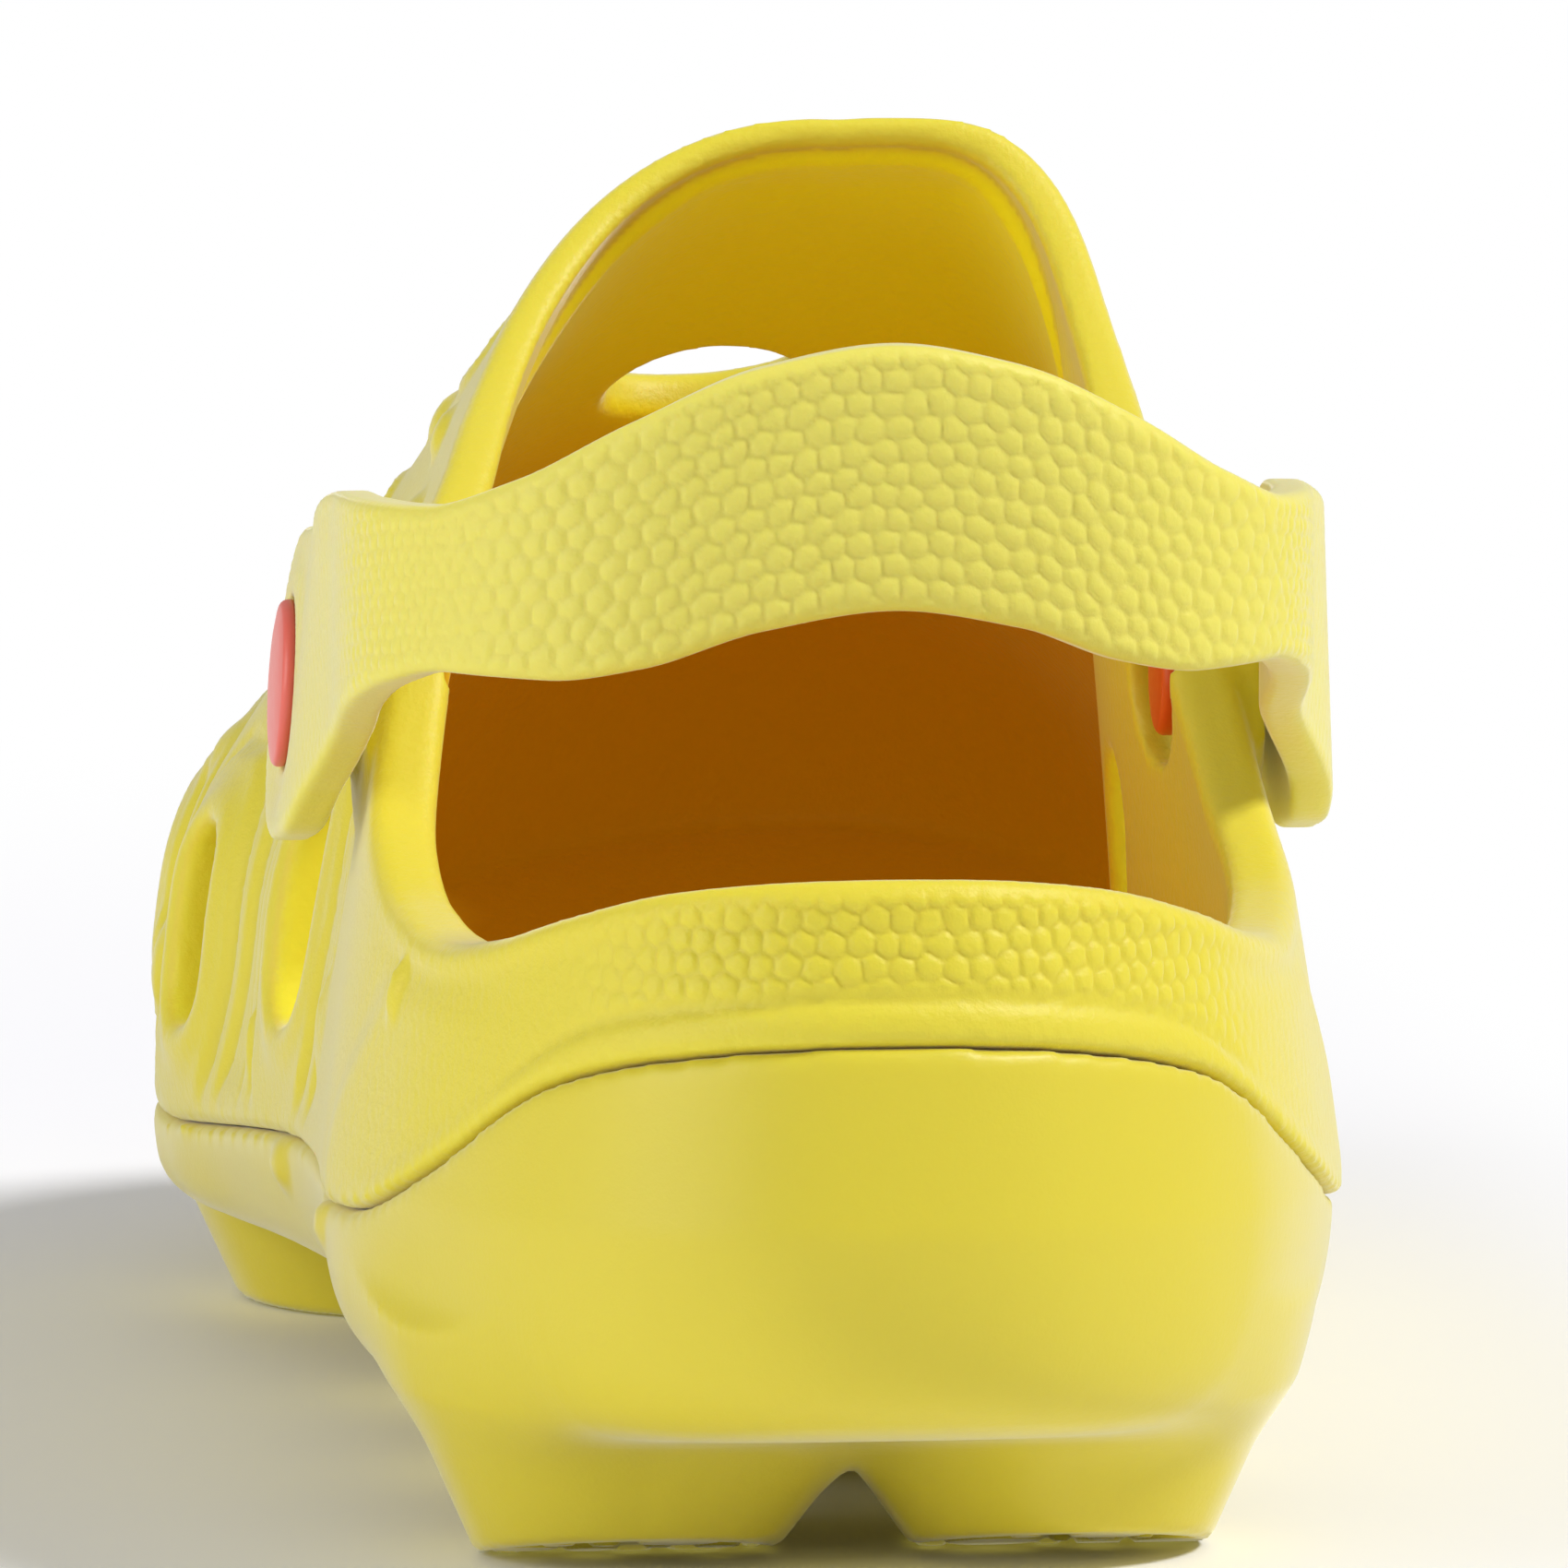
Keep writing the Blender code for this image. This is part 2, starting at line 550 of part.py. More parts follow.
def strap_section(distance, ear):
    """Bevelled section of the band, as (offset outwards, z)."""
    scale = STRAP_TOP[-1][0] / ear
    top, low = float(strap_top(distance * scale)), float(strap_low(distance * scale))
    if distance > ear:
        chord = math.sqrt(max(EAR_RADIUS ** 2 - (distance - ear) ** 2, 0.04))
        top, low = PIVOT_Z + chord, PIVOT_Z - chord
    half = STRAP_THICK / 2
    flat = half - BEVEL_ACROSS
    bevel = min(BEVEL_HIGH, 0.25 * (top - low))
    return [(-half, low + bevel), (-flat, low), (flat, low), (half, low + bevel),
            (half, top - bevel), (flat, top), (-flat, top), (-half, top - bevel)]


def strap_band():
    line = strap_line()
    run = run_along(line)
    bend = slice(STRAIGHT_POINTS, STRAIGHT_POINTS + BEND_POINTS)
    middle = float(np.interp(STRAP_MIDDLE_X, line[bend, 0], run[bend]))
    bm = bmesh.new()
    rows = []
    for signed, distance, ear in strap_stations(middle, run[-1]):
        where = middle + signed
        x, y = point_at(line, run, where)
        along = point_at(line, run, where + 0.6) - point_at(line, run, where - 0.6)
        along /= np.hypot(*along)
        rows.append([bm.verts.new(Vector((x + along[1] * out, y - along[0] * out, z)) * MM)
                     for out, z in strap_section(distance, ear)])
    for row, following in zip(rows[:-1], rows[1:]):
        for i in range(len(row)):
            j = (i + 1) % len(row)
            bm.faces.new((row[i], row[j], following[j], following[i]))
    bm.faces.new(rows[0][::-1])
    bm.faces.new(rows[-1])
    bmesh.ops.recalc_face_normals(bm, faces=bm.faces[:])
    return bm


def build_strap():
    strap = new_object("heel_strap", strap_band(), parts)
    for side, _, ear_x, _ in PIVOTS:
        outer_face = ear_x + side * STRAP_THICK
        cut(strap, "ear_bore", pivot_bar(BORE_R, side * 35, side * 65, BORE_SEGMENTS))
        cut(strap, "ear_recess", pivot_bar(RECESS_R, outer_face - side * RECESS_DEPTH,
                                           outer_face + side * 6, ROUND_SEGMENTS))
    tidy(strap)
    # the strap's origin is the pivot
    strap.data.transform(Matrix.Translation(Vector((0, -PIVOT_Y, -PIVOT_Z)) * MM))
    paint(strap, "strap_foam", LEMON_STRAP, roughness=0.55)
    return strap


# ---------------------------------------------------------------------- rivets
def turned(name, profile, x, side, colour):
    """Solid of revolution about the pivot axis.

    The profile is (radius, distance outwards from x), outer end first.
    """
    mesh = bpy.data.meshes.new(name)
    bm = bmesh.new()
    verts = [bm.verts.new(Vector((radius, 0, out)) * MM) for radius, out in profile]
    for start, end in zip(verts[:-1], verts[1:]):
        bm.edges.new((start, end))
    bm.to_mesh(mesh)
    bm.free()
    obj = bpy.data.objects.new(name, mesh)
    parts.objects.link(obj)
    mod = obj.modifiers.new("turn", 'SCREW')
    mod.steps = mod.render_steps = RIVET_STEPS
    mod.use_merge_vertices = True
    mod.merge_threshold = 0.00001
    mod.use_smooth_shade = True
    obj.matrix_world = placed(x, PIVOT_Y, PIVOT_Z, side * 90, 'Y')
    paint(obj, name + "_plastic", colour, roughness=0.35)
    return obj


def build_rivet(side, word, ear_x, pad_x):
    """Button whose shank runs inwards through ear and boss, and the cap on its end."""
    sunk = RECESS_DEPTH - GAP
    seat = ear_x + side * STRAP_THICK - side * sunk
    rise = HEAD_PROUD + RECESS_DEPTH - GAP
    cap_face = pad_x - side * GAP
    reach = abs(seat - cap_face) + CAP_SOCKET - GAP
    dome = [(HEAD_R * math.sin(a), rise - HEAD_DOME + HEAD_DOME * math.cos(a))
            for a in np.linspace(0, math.pi / 2, 5)[1:]]
    button = [(0, rise), *dome, (HEAD_R, 0), (SHANK_R, 0), (SHANK_R, -reach), (0, -reach)]
    inner = [(CAP_R * math.sin(a), -CAP_THICK + CAP_DOME - CAP_DOME * math.cos(a))
             for a in np.linspace(math.pi / 2, 0, 4)[:-1]]
    cap = [(0, -CAP_SOCKET), (SHANK_R + GAP, -CAP_SOCKET), (SHANK_R + GAP, 0), (CAP_R, 0),
           *inner, (0, -CAP_THICK)]
    return [turned("rivet_button_" + word, button, seat, side, CORAL),
            turned("rivet_cap_" + word, cap, cap_face, side, RED_ORANGE)]


# -------------------------------------------------------------------- the clog
def new_empty(name, x, y, z):
    obj = bpy.data.objects.new(name, None)
    parts.objects.link(obj)
    obj.location = Vector((x, y, z)) * MM
    return obj


for old_object in list(bpy.data.objects):
    bpy.data.objects.remove(old_object, do_unlink=True)
parts = bpy.data.collections.new("garden_clog")
cutters = bpy.data.collections.new("clog_cutters")
for group in (parts, cutters):
    bpy.context.scene.collection.children.link(group)

fixed_pieces = [build_upper(), build_outsole()]
heel_strap = build_strap()
for pivot_row in PIVOTS:
    fixed_pieces += build_rivet(*pivot_row)

root = new_empty("clog_root", -CLOG_CENTRE[0], -CLOG_CENTRE[1], 0)
strap_pivot = new_empty("strap_pivot", 0, PIVOT_Y, PIVOT_Z)
strap_pivot.parent = root
for piece in fixed_pieces:
    piece.parent = root
heel_strap.parent = strap_pivot
bpy.context.view_layer.update()
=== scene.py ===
"""Looks of the rubber garden clog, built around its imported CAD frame.

Shapes are worked out in the clog's working frame in millimetres: x towards the
inner side of the foot, y towards the toe, z up, the middle of the two heel lugs
at x = y = 0.  They are distance fields (negative inside), which lets soft foam
edges and shallow relief be rounded as a mould would leave them, and are then
meshed in the row frame in metres.  A side is -1 (outer) or 1 (inner), and "out"
is a distance from x = 0 towards that side.
"""
import math
from collections import namedtuple

import bmesh
import bpy
import numpy as np
import openvdb as vdb
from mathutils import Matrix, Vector


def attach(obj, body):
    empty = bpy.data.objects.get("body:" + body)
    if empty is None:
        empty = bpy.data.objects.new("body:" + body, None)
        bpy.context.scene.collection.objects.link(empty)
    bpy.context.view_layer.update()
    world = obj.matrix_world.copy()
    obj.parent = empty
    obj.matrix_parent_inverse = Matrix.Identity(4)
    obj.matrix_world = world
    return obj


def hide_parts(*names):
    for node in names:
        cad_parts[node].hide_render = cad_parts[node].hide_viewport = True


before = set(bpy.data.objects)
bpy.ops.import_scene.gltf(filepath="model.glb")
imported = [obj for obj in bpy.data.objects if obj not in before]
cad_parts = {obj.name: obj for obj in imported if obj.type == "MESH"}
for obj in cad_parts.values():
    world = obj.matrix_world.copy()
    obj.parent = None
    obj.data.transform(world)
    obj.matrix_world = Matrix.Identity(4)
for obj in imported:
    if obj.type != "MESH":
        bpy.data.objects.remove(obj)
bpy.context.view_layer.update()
F = np.float32

STEP_BODY = 0.72
STEP_STRAP = 0.42
SIDE_POINTS = 280      # outline points along each side of the foot

# ----------------------------------------------------------------- dimensions
CENTRE = (2.72, 99.25, 0)                # origin of the row frame
# Plan outline (x, y), heel to toe along each side
OUTLINE_INNER = [
    (11, -45.0), (23.5, -36.5), (33, -25), (40, -9.5), (44.8, 8), (47, 25), (45.8, 43),
    (42.8, 62), (41.2, 80), (43.2, 98), (48.5, 117), (54.5, 137), (59.3, 158), (61.4, 179),
    (60.8, 198), (56.5, 217), (47, 233.5), (33, 243)]
OUTLINE_OUTER = [
    (-14, -45.3), (-26, -37.3), (-35.5, -24), (-41.8, -7), (-46, 11), (-47.9, 30), (-47, 49),
    (-46.6, 68), (-47.4, 84), (-50, 102), (-52.6, 122), (-55.8, 142), (-55.6, 160),
    (-52.3, 179), (-46, 199), (-35.2, 217.5), (-19, 233.5), (0, 243)]
HEEL_POINT = (-2, -47.5)
TOE_POINT = (17, 246)
# Heights (y, z): the widest level, the underside, the seam between outsole and
# upper, the ridge over the foot and the rim of the opening
WIDEST = [(-48, 36), (-20, 34), (20, 33), (60, 30), (100, 28), (150, 25.5), (185, 27.5),
          (220, 34), (246, 39)]
SOLE = [(-48, 19), (-32, 15), (-12, 13.4), (25, 13.2), (80, 12.6), (150, 12), (180, 14),
        (210, 20), (232, 27), (247, 33)]
SEAM = [(-48, 54), (-27, 48), (-8, 37.5), (14, 30.2), (40, 28.6), (68, 28.0), (88, 27.0),
        (106, 25.2), (126, 22.8), (148, 20.8), (168, 21.0), (192, 25.0), (225, 32.5), (247, 39)]
RIDGE = [(-48, 108), (0, 112), (58, 125), (85, 128.5), (100, 126.5), (110, 123.5),
         (120, 118.6), (135, 110), (150, 100.5), (168, 89.5), (186, 80.5), (206, 73),
         (226, 67), (247, 61)]
TOPLINE = [(-60, 69), (-44, 68.2), (-34, 66), (-24, 62.6), (-12, 59), (1, 57.2), (15, 58.8),
           (30, 63.6), (44, 72.8), (58, 86), (72, 94.8), (86, 102.5), (97, 111), (105, 120),
           (109, 129)]
# Middle line in plan (y, x) and the y where it ends
SPINE_X = [(-6, -1), (40, 0.5), (75, 6), (105, 9.5), (140, 6.5), (175, 5), (206, 9)]
SPINE_ENDS = (-5.0, 206.0)
# Fullness of the upper's cross-section (y, power) on each side, and its root (y, power)
FULL_OUTER = [(-48, 4), (0, 4), (45, 4.6), (60, 4.2), (75, 3.4), (90, 2.9), (115, 2.6),
              (150, 2.45), (200, 2.5), (247, 2.5)]
FULL_INNER = [(-48, 4), (0, 4), (30, 4.6), (60, 7.4), (78, 6.9), (95, 5.2), (112, 4.5),
              (130, 3.9), (150, 3.2), (200, 2.6), (247, 2.5)]
ROUND_OFF = [(-48, 1), (110, 1.02), (150, 1.35), (200, 1.6), (247, 1.7)]

WALL, VAMP_THICKNESS, FOOTBED_RISE = 6.8, 4.4, 9.0
OUTSOLE_WALL, OUTSOLE_FLOOR, GAP = 3.0, 4.0, 0.3
SEAM_GAP = 0.10

Lug = namedtuple("Lug", "x y radius face tilt")      # face is its height, tilt in degrees
LUGS = [Lug(*row) for row in (
    (17.9, 0.0, 14.2, 0.0, 0.0), (-22.2, 0.0, 14.0, 0.0, 0.0),
    (19.4, 49.3, 14.0, 0.0, 0.0), (-17.3, 50.7, 13.8, 0.0, 0.0),
    (17.8, 95.8, 13.7, 0.0, 0.0), (-19.6, 97.0, 13.7, 0.0, 0.0),
    (27.0, 148.1, 19.5, 0.0, 0.0), (-27.0, 163.5, 19.6, 0.0, 0.0),
    (32.8, 193.2, 15.6, 6.6, 14.0), (-12.6, 203.0, 14.2, 9.5, 14.0))]
HEEL_LUGS = 2                            # the first ones in the table
HEEL_FACE_TILT = 10.0
LUG_FACE_EDGE = 0.6                      # a face reaches this far past its radius

PIVOT_Y, PIVOT_Z = 58.0, 74.8
EAR_FACE = {-1: 45.1, 1: 44.9}           # inner face of each strap ear
EAR_RADIUS = 15.0
PAD_FACE = {-1: 37.4, 1: 36.7}           # face of each boss in the foot room
BOSS_R = 9.0
BOSS_SET_IN = {-1: 1.6, 1: 1.0}          # boss face inwards of the ear
SHOULDER_R = 15.2
SHOULDER_SET_IN = {-1: 2.5, 1: 1.5}
STRAP_THICK, STRAP_EDGE_R = 4.2, 0.95
STRAP_BACK_Y = -20.0
STRAP_CORNER_X = (-45.4, 41.9)
STRAP_CORNER_Y = 22.0
STRAP_MIDDLE_X = 0.8
# Edges of the strap (distance along it from the middle, z)
STRAP_TOP = [(-12, 112), (0, 114), (12, 112), (24, 106.8), (35, 101.2), (46, 98), (60, 97.4),
             (72, 96.8), (86, 94.4), (98, 91.2), (107, 89.8)]
STRAP_LOW = [(-12, 87.8), (0, 89.6), (12, 87.8), (23, 84.2), (32, 82.8), (43, 82.8),
             (53, 80.8), (62, 78), (74, 73.4), (86, 67.2), (96, 61.6), (107, 59.8)]
# Slope of the ears, and of the button seats in their middle
EAR_LEAN = {-1: math.tan(math.radians(7.0)), 1: math.tan(math.radians(3.2))}
SEAT_LEAN = {-1: math.tan(math.radians(3.8)), 1: math.tan(math.radians(2.0))}

SHANK_R, BORE_R = 2.4, 2.75
HEAD_R, HEAD_PROUD = 8.0, 1.5
RECESS_R, RECESS_DEPTH = 8.35, 1.4
SEAT_GAP = 1.15                          # button seat above the floor of its recess
CAP_R, CAP_THICK, CAP_SOCKET = 6.0, 2.2, 1.4
CAP_SEAT_START = 22                      # out distance where the cap's seat is narrowest

Slot = namedtuple("Slot", "side y z half_width half_height lean")      # lean in degrees
SLOTS = [Slot(*row) for row in (
    (-1, 92.0, 51.5, 6.4, 14.0, -12.0), (-1, 134.0, 42.0, 5.2, 10.0, -3.0),
    (-1, 172.0, 43.0, 4.8, 7.2, 12.0), (1, 82.0, 52.0, 6.4, 13.0, 8.0),
    (1, 113.0, 52.0, 6.8, 13.0, 12.0), (1, 147.0, 47.0, 6.0, 10.5, 18.0),
    (1, 179.0, 44.0, 4.8, 7.2, 26.0))]
SLOT_SIDE = {-1: (-70, -12), 1: (16, 70)}              # x range of each side with slots
SLOT_GROWTH = 0.4                        # the cut is this much larger than the slot
Vent = namedtuple("Vent", "x y half_width half_length")
VENTS = [Vent(*row) for row in (
    (0.0, 156.5, 9.4, 6.8), (-26.0, 170.0, 5.0, 5.0), (24.0, 165.0, 6.0, 5.4),
    (4.0, 178.0, 6.2, 5.4), (-14.0, 193.0, 4.6, 4.6), (25.0, 192.0, 5.0, 4.8),
    (7.0, 207.0, 4.8, 4.4))]
VENT_TIP = math.radians(24)

# Mounds on the sides: (side, y, z, size, height, stretch along y, stretch along z)
SIDE_MOUNDS = (
    (-1, 105, 34, 1.9, 1.2, 1.1, 2.0), (-1, 8, 51.5, 2.0, 1.4, 0.9, 1.8),
    (-1, 120, 62, 4.6, 1.3, 1.0, 1.3), (-1, 70, 40, 4.0, 0.7, 1, 1.4),
    (-1, 160, 35, 4.2, 1.2, 1.0, 1.3), (-1, 163, 55, 4.4, 1.4, 1.0, 1.0),
    (-1, 195, 40, 4.2, 1.3, 1, 1), (-1, 110, 84, 4.6, 1.5, 1.1, 1.0),
    (-1, 128, 78, 4.4, 1.5, 1.1, 1.0), (-1, 145, 68, 4.4, 1.4, 1, 1),
    (-1, 92, 82, 4.2, 1.3, 1, 1.2), (1, 98, 36, 3.4, 1.1, 0.8, 1.5),
    (1, 130, 40, 3.6, 1.1, 0.8, 1.5), (1, 165, 38, 4.0, 1.2, 1, 1),
    (1, 128, 70, 4.2, 1.2, 1, 1), (1, 98, 74, 4.2, 1.1, 0.9, 1.3),
    (1, 195, 42, 4.2, 1.2, 1, 1), (1, 148, 66, 4.2, 1.3, 1, 1),
    (1, 66, 46, 3.6, 0.8, 1, 1.4), (1, 112, 88, 4.4, 1.2, 1, 1))
# Mounds on the outsole: (side, y, z) on its sides, (x, y, z) at the toe
SOLE_SIDE_MOUNDS = (
    (-1, 88.7, 24), (-1, 135.5, 23.5), (-1, 167.3, 27), (-1, 30, 27), (-1, 186, 32),
    (1, 150.0, 24), (1, 105, 22), (1, 185, 30))
SOLE_TOE_MOUNDS = ((20, 238, 36), (-20, 226, 35))
# Discs on a lug face: (radius as a share of the face's, tries, count wanted)
DISC_SIZES = ((0.30, 60, 2), (0.235, 90, 5), (0.17, 200, 9), (0.11, 300, 14), (0.07, 300, 18))


# --------------------------------------------------------------------- curves
def curve_through(knots):
    """Monotone cubic through (position, value) knots, flat beyond both ends."""
    at, value = np.array(knots, float).T
    step = np.diff(at)
    chord = np.diff(value) / step
    slope = np.zeros_like(value)
    for i in range(1, len(at) - 1):
        if chord[i - 1] * chord[i] > 0:
            before, after = 2 * step[i] + step[i - 1], step[i] + 2 * step[i - 1]
            slope[i] = (before + after) / (before / chord[i - 1] + after / chord[i])
    slope[0], slope[-1] = chord[0], chord[-1]

    def curve(x):
        x = np.clip(np.asarray(x, float), at[0], at[-1])
        i = np.clip(np.searchsorted(at, x, side="right") - 1, 0, len(step) - 1)
        t = (x - at[i]) / step[i]
        return ((1 + 2 * t) * (1 - t) ** 2 * value[i] + t * (1 - t) ** 2 * step[i] * slope[i]
                + t * t * (3 - 2 * t) * value[i + 1]
                + t * t * (t - 1) * step[i] * slope[i + 1])
    return curve


def closed_spline(points, per_span):
    """Catmull-Rom spline through a closed loop of plan points."""
    p = np.array(points, float)
    out = []
    t = np.linspace(0, 1, per_span, endpoint=False)[:, None]
    for i in range(len(p)):
        a, b, c, d = p[i - 1], p[i], p[(i + 1) % len(p)], p[(i + 2) % len(p)]
        out.append(0.5 * (2 * b + (c - a) * t + (2 * a - 5 * b + 4 * c - d) * t ** 2
                          + (3 * b - a - 3 * c + d) * t ** 3))
    return np.concatenate(out)


def run_along(line):
    """Length along an open plan line at each of its points."""
    return np.concatenate([[0], np.cumsum(np.hypot(*np.diff(line, axis=0).T))])


def by_length(line, count):
    """Points of an open line at equal steps of its length."""
    length = run_along(line)
    want = np.linspace(0, length[-1], count)
    return np.stack([np.interp(want, length, line[:, k]) for k in range(2)], axis=1)


widest, sole, seam, ridge, topline, spine_x = (
    curve_through(knots) for knots in (WIDEST, SOLE, SEAM, RIDGE, TOPLINE, SPINE_X))
full_outer, full_inner, round_off, strap_top, strap_low = (
    curve_through(knots) for knots in (FULL_OUTER, FULL_INNER, ROUND_OFF, STRAP_TOP, STRAP_LOW))


def plan_outline(inset):
    """Outline of the foot, from the heel along the inner side to the toe and back."""
    fine = closed_spline([HEEL_POINT] + OUTLINE_INNER + [TOE_POINT] + OUTLINE_OUTER[::-1], 40)
    heel, toe = int(np.argmin(fine[:, 1])), int(np.argmax(fine[:, 1]))
    fine = np.roll(fine, -heel, axis=0)
    toe = (toe - heel) % len(fine)
    inner = by_length(fine[:toe + 1], SIDE_POINTS + 1)
    outer = by_length(np.concatenate([fine[toe:], fine[:1]]), SIDE_POINTS + 1)
    ring = np.concatenate([inner[:-1], outer[:-1]])
    for _ in range(6):
        ring = 0.25 * np.roll(ring, 1, axis=0) + 0.5 * ring + 0.25 * np.roll(ring, -1, axis=0)
    along = np.roll(ring, -1, axis=0) - np.roll(ring, 1, axis=0)
    along /= np.hypot(along[:, 0], along[:, 1])[:, None]
    return ring + inset * np.stack([-along[:, 1], along[:, 0]], axis=1)


def spine_of(ring):
    """Spine point for each outline point, held softly between the spine's ends."""
    start, end = SPINE_ENDS
    soft = 9.0
    y = ring[:, 1]
    y = start + soft * np.log1p(np.exp(np.clip((y - start) / soft, -40, 40)))
    y = end - soft * np.log1p(np.exp(np.clip((end - y) / soft, -40, 40)))
    return np.stack([spine_x(y), y], axis=1)


def body_rings(inset, drop, lift, floor_power, floor_round):
    """Rings of a foot-shaped body, from mid underside over the outline to its ridge.

    It lies inset from the outline, drop below the ridge and lift above the sole.
    """
    ring = plan_outline(inset)
    spine = spine_of(ring)
    outer_side = np.arange(len(ring)) > SIDE_POINTS
    fullness = np.where(outer_side, full_outer(ring[:, 1]), full_inner(ring[:, 1]))
    rings = []
    level = widest(ring[:, 1])
    for reach in 1 - (1 - np.linspace(0.30, 1, 26)[:-1]) ** 1.7:
        p = spine + (ring - spine) * reach
        low = sole(p[:, 1]) + lift
        z = level - (level - low) * (1 - reach ** floor_power) ** (1 / floor_round)
        rings.append(np.column_stack([p, z]))
    rings.append(np.column_stack([ring, level]))
    for reach in 1 - (np.linspace(0, 1, 46)[1:-1]) ** 2.2:
        p = spine + (ring - spine) * reach
        peak = ridge(0.5 * (p[:, 1] + spine[:, 1])) - drop
        z = level + (peak - level) * (1 - reach ** fullness) ** (1 / round_off(ring[:, 1]))
        rings.append(np.column_stack([p, z]))
    return rings


def ring_quads(count, size):
    """Quads between neighbours in a row of rings with the same number of points."""
    i = np.arange(size)
    j = (i + 1) % size
    return np.concatenate([
        np.stack([r * size + i, r * size + j, (r + 1) * size + j, (r + 1) * size + i], axis=1)
        for r in range(count - 1)])


def zipped(rings):
    """Vertices, quads and triangles over rings, both end rings closed straight across."""
    n = len(rings[0])
    half = n // 2
    quads, tris = [ring_quads(len(rings), n)], []
    k = np.arange(1, half - 1)
    for base, up in ((0, False), ((len(rings) - 1) * n, True)):
        cap = np.stack([base + k, base + k + 1, base + (n - k - 1), base + (n - k)], axis=1)
        quads.append(cap if up else cap[:, ::-1])
        for corners in ([0, 1, n - 1], [half - 1, half, half + 1]):
            tri = [base + q for q in corners]
            tris.append(tri if up else tri[::-1])
    return np.concatenate(rings), np.concatenate(quads), np.array(tris)


# --------------------------------------------------------------------- fields
def rise(start, end, x):
    """Smooth step from 0 at start to 1 at end."""
    t = np.clip((x - start) / (end - start), 0, 1)
    return t * t * (3 - 2 * t)


def fall(start, end, x):
    return 1 - rise(start, end, x)


def bell(x, width):
    return np.exp(-(x / width) ** 2)


def soft_min(a, b, blend):
    """Union of two bodies with a fillet between them."""
    h = np.clip(0.5 + 0.5 * (b - a) / blend, 0, 1)
    return b * (1 - h) + a * h - blend * h * (1 - h)


def round_max(a, b, r):
    """Intersection of two bodies with a rounded edge of radius r."""
    return np.minimum(-r, np.maximum(a, b)) + np.hypot(np.maximum(a + r, 0),
                                                       np.maximum(b + r, 0))


def slab(x, low, high):
    return abs(x - (low + high) / 2) - (high - low) / 2


def ellipse_distance(u, v, a, b):
    k1 = np.sqrt((u / a) ** 2 + (v / b) ** 2)
    k2 = np.sqrt((u / a ** 2) ** 2 + (v / b ** 2) ** 2)
    return k1 * (k1 - 1) / np.maximum(k2, 1e-6)


def terraces(q, edges, height, soft):
    """Flat-topped steps that climb towards q = 0 at each of the distances given."""
    return sum(height * fall(edge - soft, edge + soft, q) for edge in edges)


def span(middle, reach):
    return middle - reach, middle + reach


def side_span(side, near, far):
    """x range between two out distances on a side."""
    return (near, far) if side > 0 else (-far, -near)


class Grid:
    """Regular grid of distance values in the working frame, negative inside."""

    def __init__(self, low, high, step):
        self.low = np.array(low, float)
        self.step = step
        self.n = tuple(int(math.ceil((h - l) / step)) + 1 for l, h in zip(low, high))
        self.axes = [l + step * np.arange(n) for l, n in zip(low, self.n)]
        self.x = self.axes[0].astype(F)[:, None, None]
        self.y = self.axes[1].astype(F)[None, :, None]
        self.z = self.axes[2].astype(F)[None, None, :]

    def of_mesh(self, verts, quads, tris, band):
        """Distance to a closed mesh, true within band cells of it."""
        grid = vdb.FloatGrid.createLevelSetFromPolygons(
            points=(verts - self.low).astype(F), triangles=tris.astype(np.uint32),
            quads=quads.astype(np.uint32), halfWidth=band,
            transform=vdb.createLinearTransform(voxelSize=self.step))
        out = np.zeros(self.n, F)
        grid.copyToArray(out)
        return out

    def window(self, *spans):
        """Index slices of a box given as x, y and z ranges, and the coordinates in it."""
        slices = []
        for (start, end), axis in zip(spans, self.axes):
            i = int(np.clip(np.searchsorted(axis, start), 0, len(axis)))
            j = int(np.clip(np.searchsorted(axis, end), 0, len(axis)))
            slices.append(slice(i, max(i, j)))
        s = tuple(slices)
        return s, self.x[s[0]], self.y[:, s[1]], self.z[:, :, s[2]]

    def surface(self, values):
        """Points and quads of the zero surface, in the working frame, facing out."""
        grid = vdb.FloatGrid(float(values.max()))
        grid.copyFromArray(np.ascontiguousarray(values))
        grid.transform = vdb.createLinearTransform(voxelSize=self.step)
        points, quads = grid.convertToQuads(isovalue=0.0)
        points = np.asarray(points, float) + self.low
        quads = np.asarray(quads, np.int64)
        p = points[quads]
        volume = (np.einsum("ij,ij->i", p[:, 0], np.cross(p[:, 1], p[:, 2])).sum()
                  + np.einsum("ij,ij->i", p[:, 0], np.cross(p[:, 2], p[:, 3])).sum())
        return points, quads[:, ::-1] if volume < 0 else quads

    def sample(self, values, co):
        """Value of a field at points, between its eight neighbours."""
        f = np.clip((co - self.low) / self.step, 0, np.array(values.shape) - 1.001)
        i = f.astype(int)
        t = f - i
        out = np.zeros(len(co))
        for a in (0, 1):
            for b in (0, 1):
                for c in (0, 1):
                    share = (np.where(a, t[:, 0], 1 - t[:, 0])
                             * np.where(b, t[:, 1], 1 - t[:, 1])
                             * np.where(c, t[:, 2], 1 - t[:, 2]))
                    out += share * values[i[:, 0] + a, i[:, 1] + b, i[:, 2] + c]
        return out


def blur(a):
    """One light pass of smoothing along each axis."""
    for axis in range(3):
        b = a.copy()
        inner, low, high = ([slice(None)] * 3 for _ in range(3))
        inner[axis], low[axis], high[axis] = slice(1, -1), slice(0, -2), slice(2, None)
        b[tuple(inner)] = 0.5 * a[tuple(inner)] + 0.25 * (a[tuple(low)] + a[tuple(high)])
        a = b
    return a


body = Grid((-64, -55, -3.5), (68, 253, 131), STEP_BODY)
ys = body.axes[1]


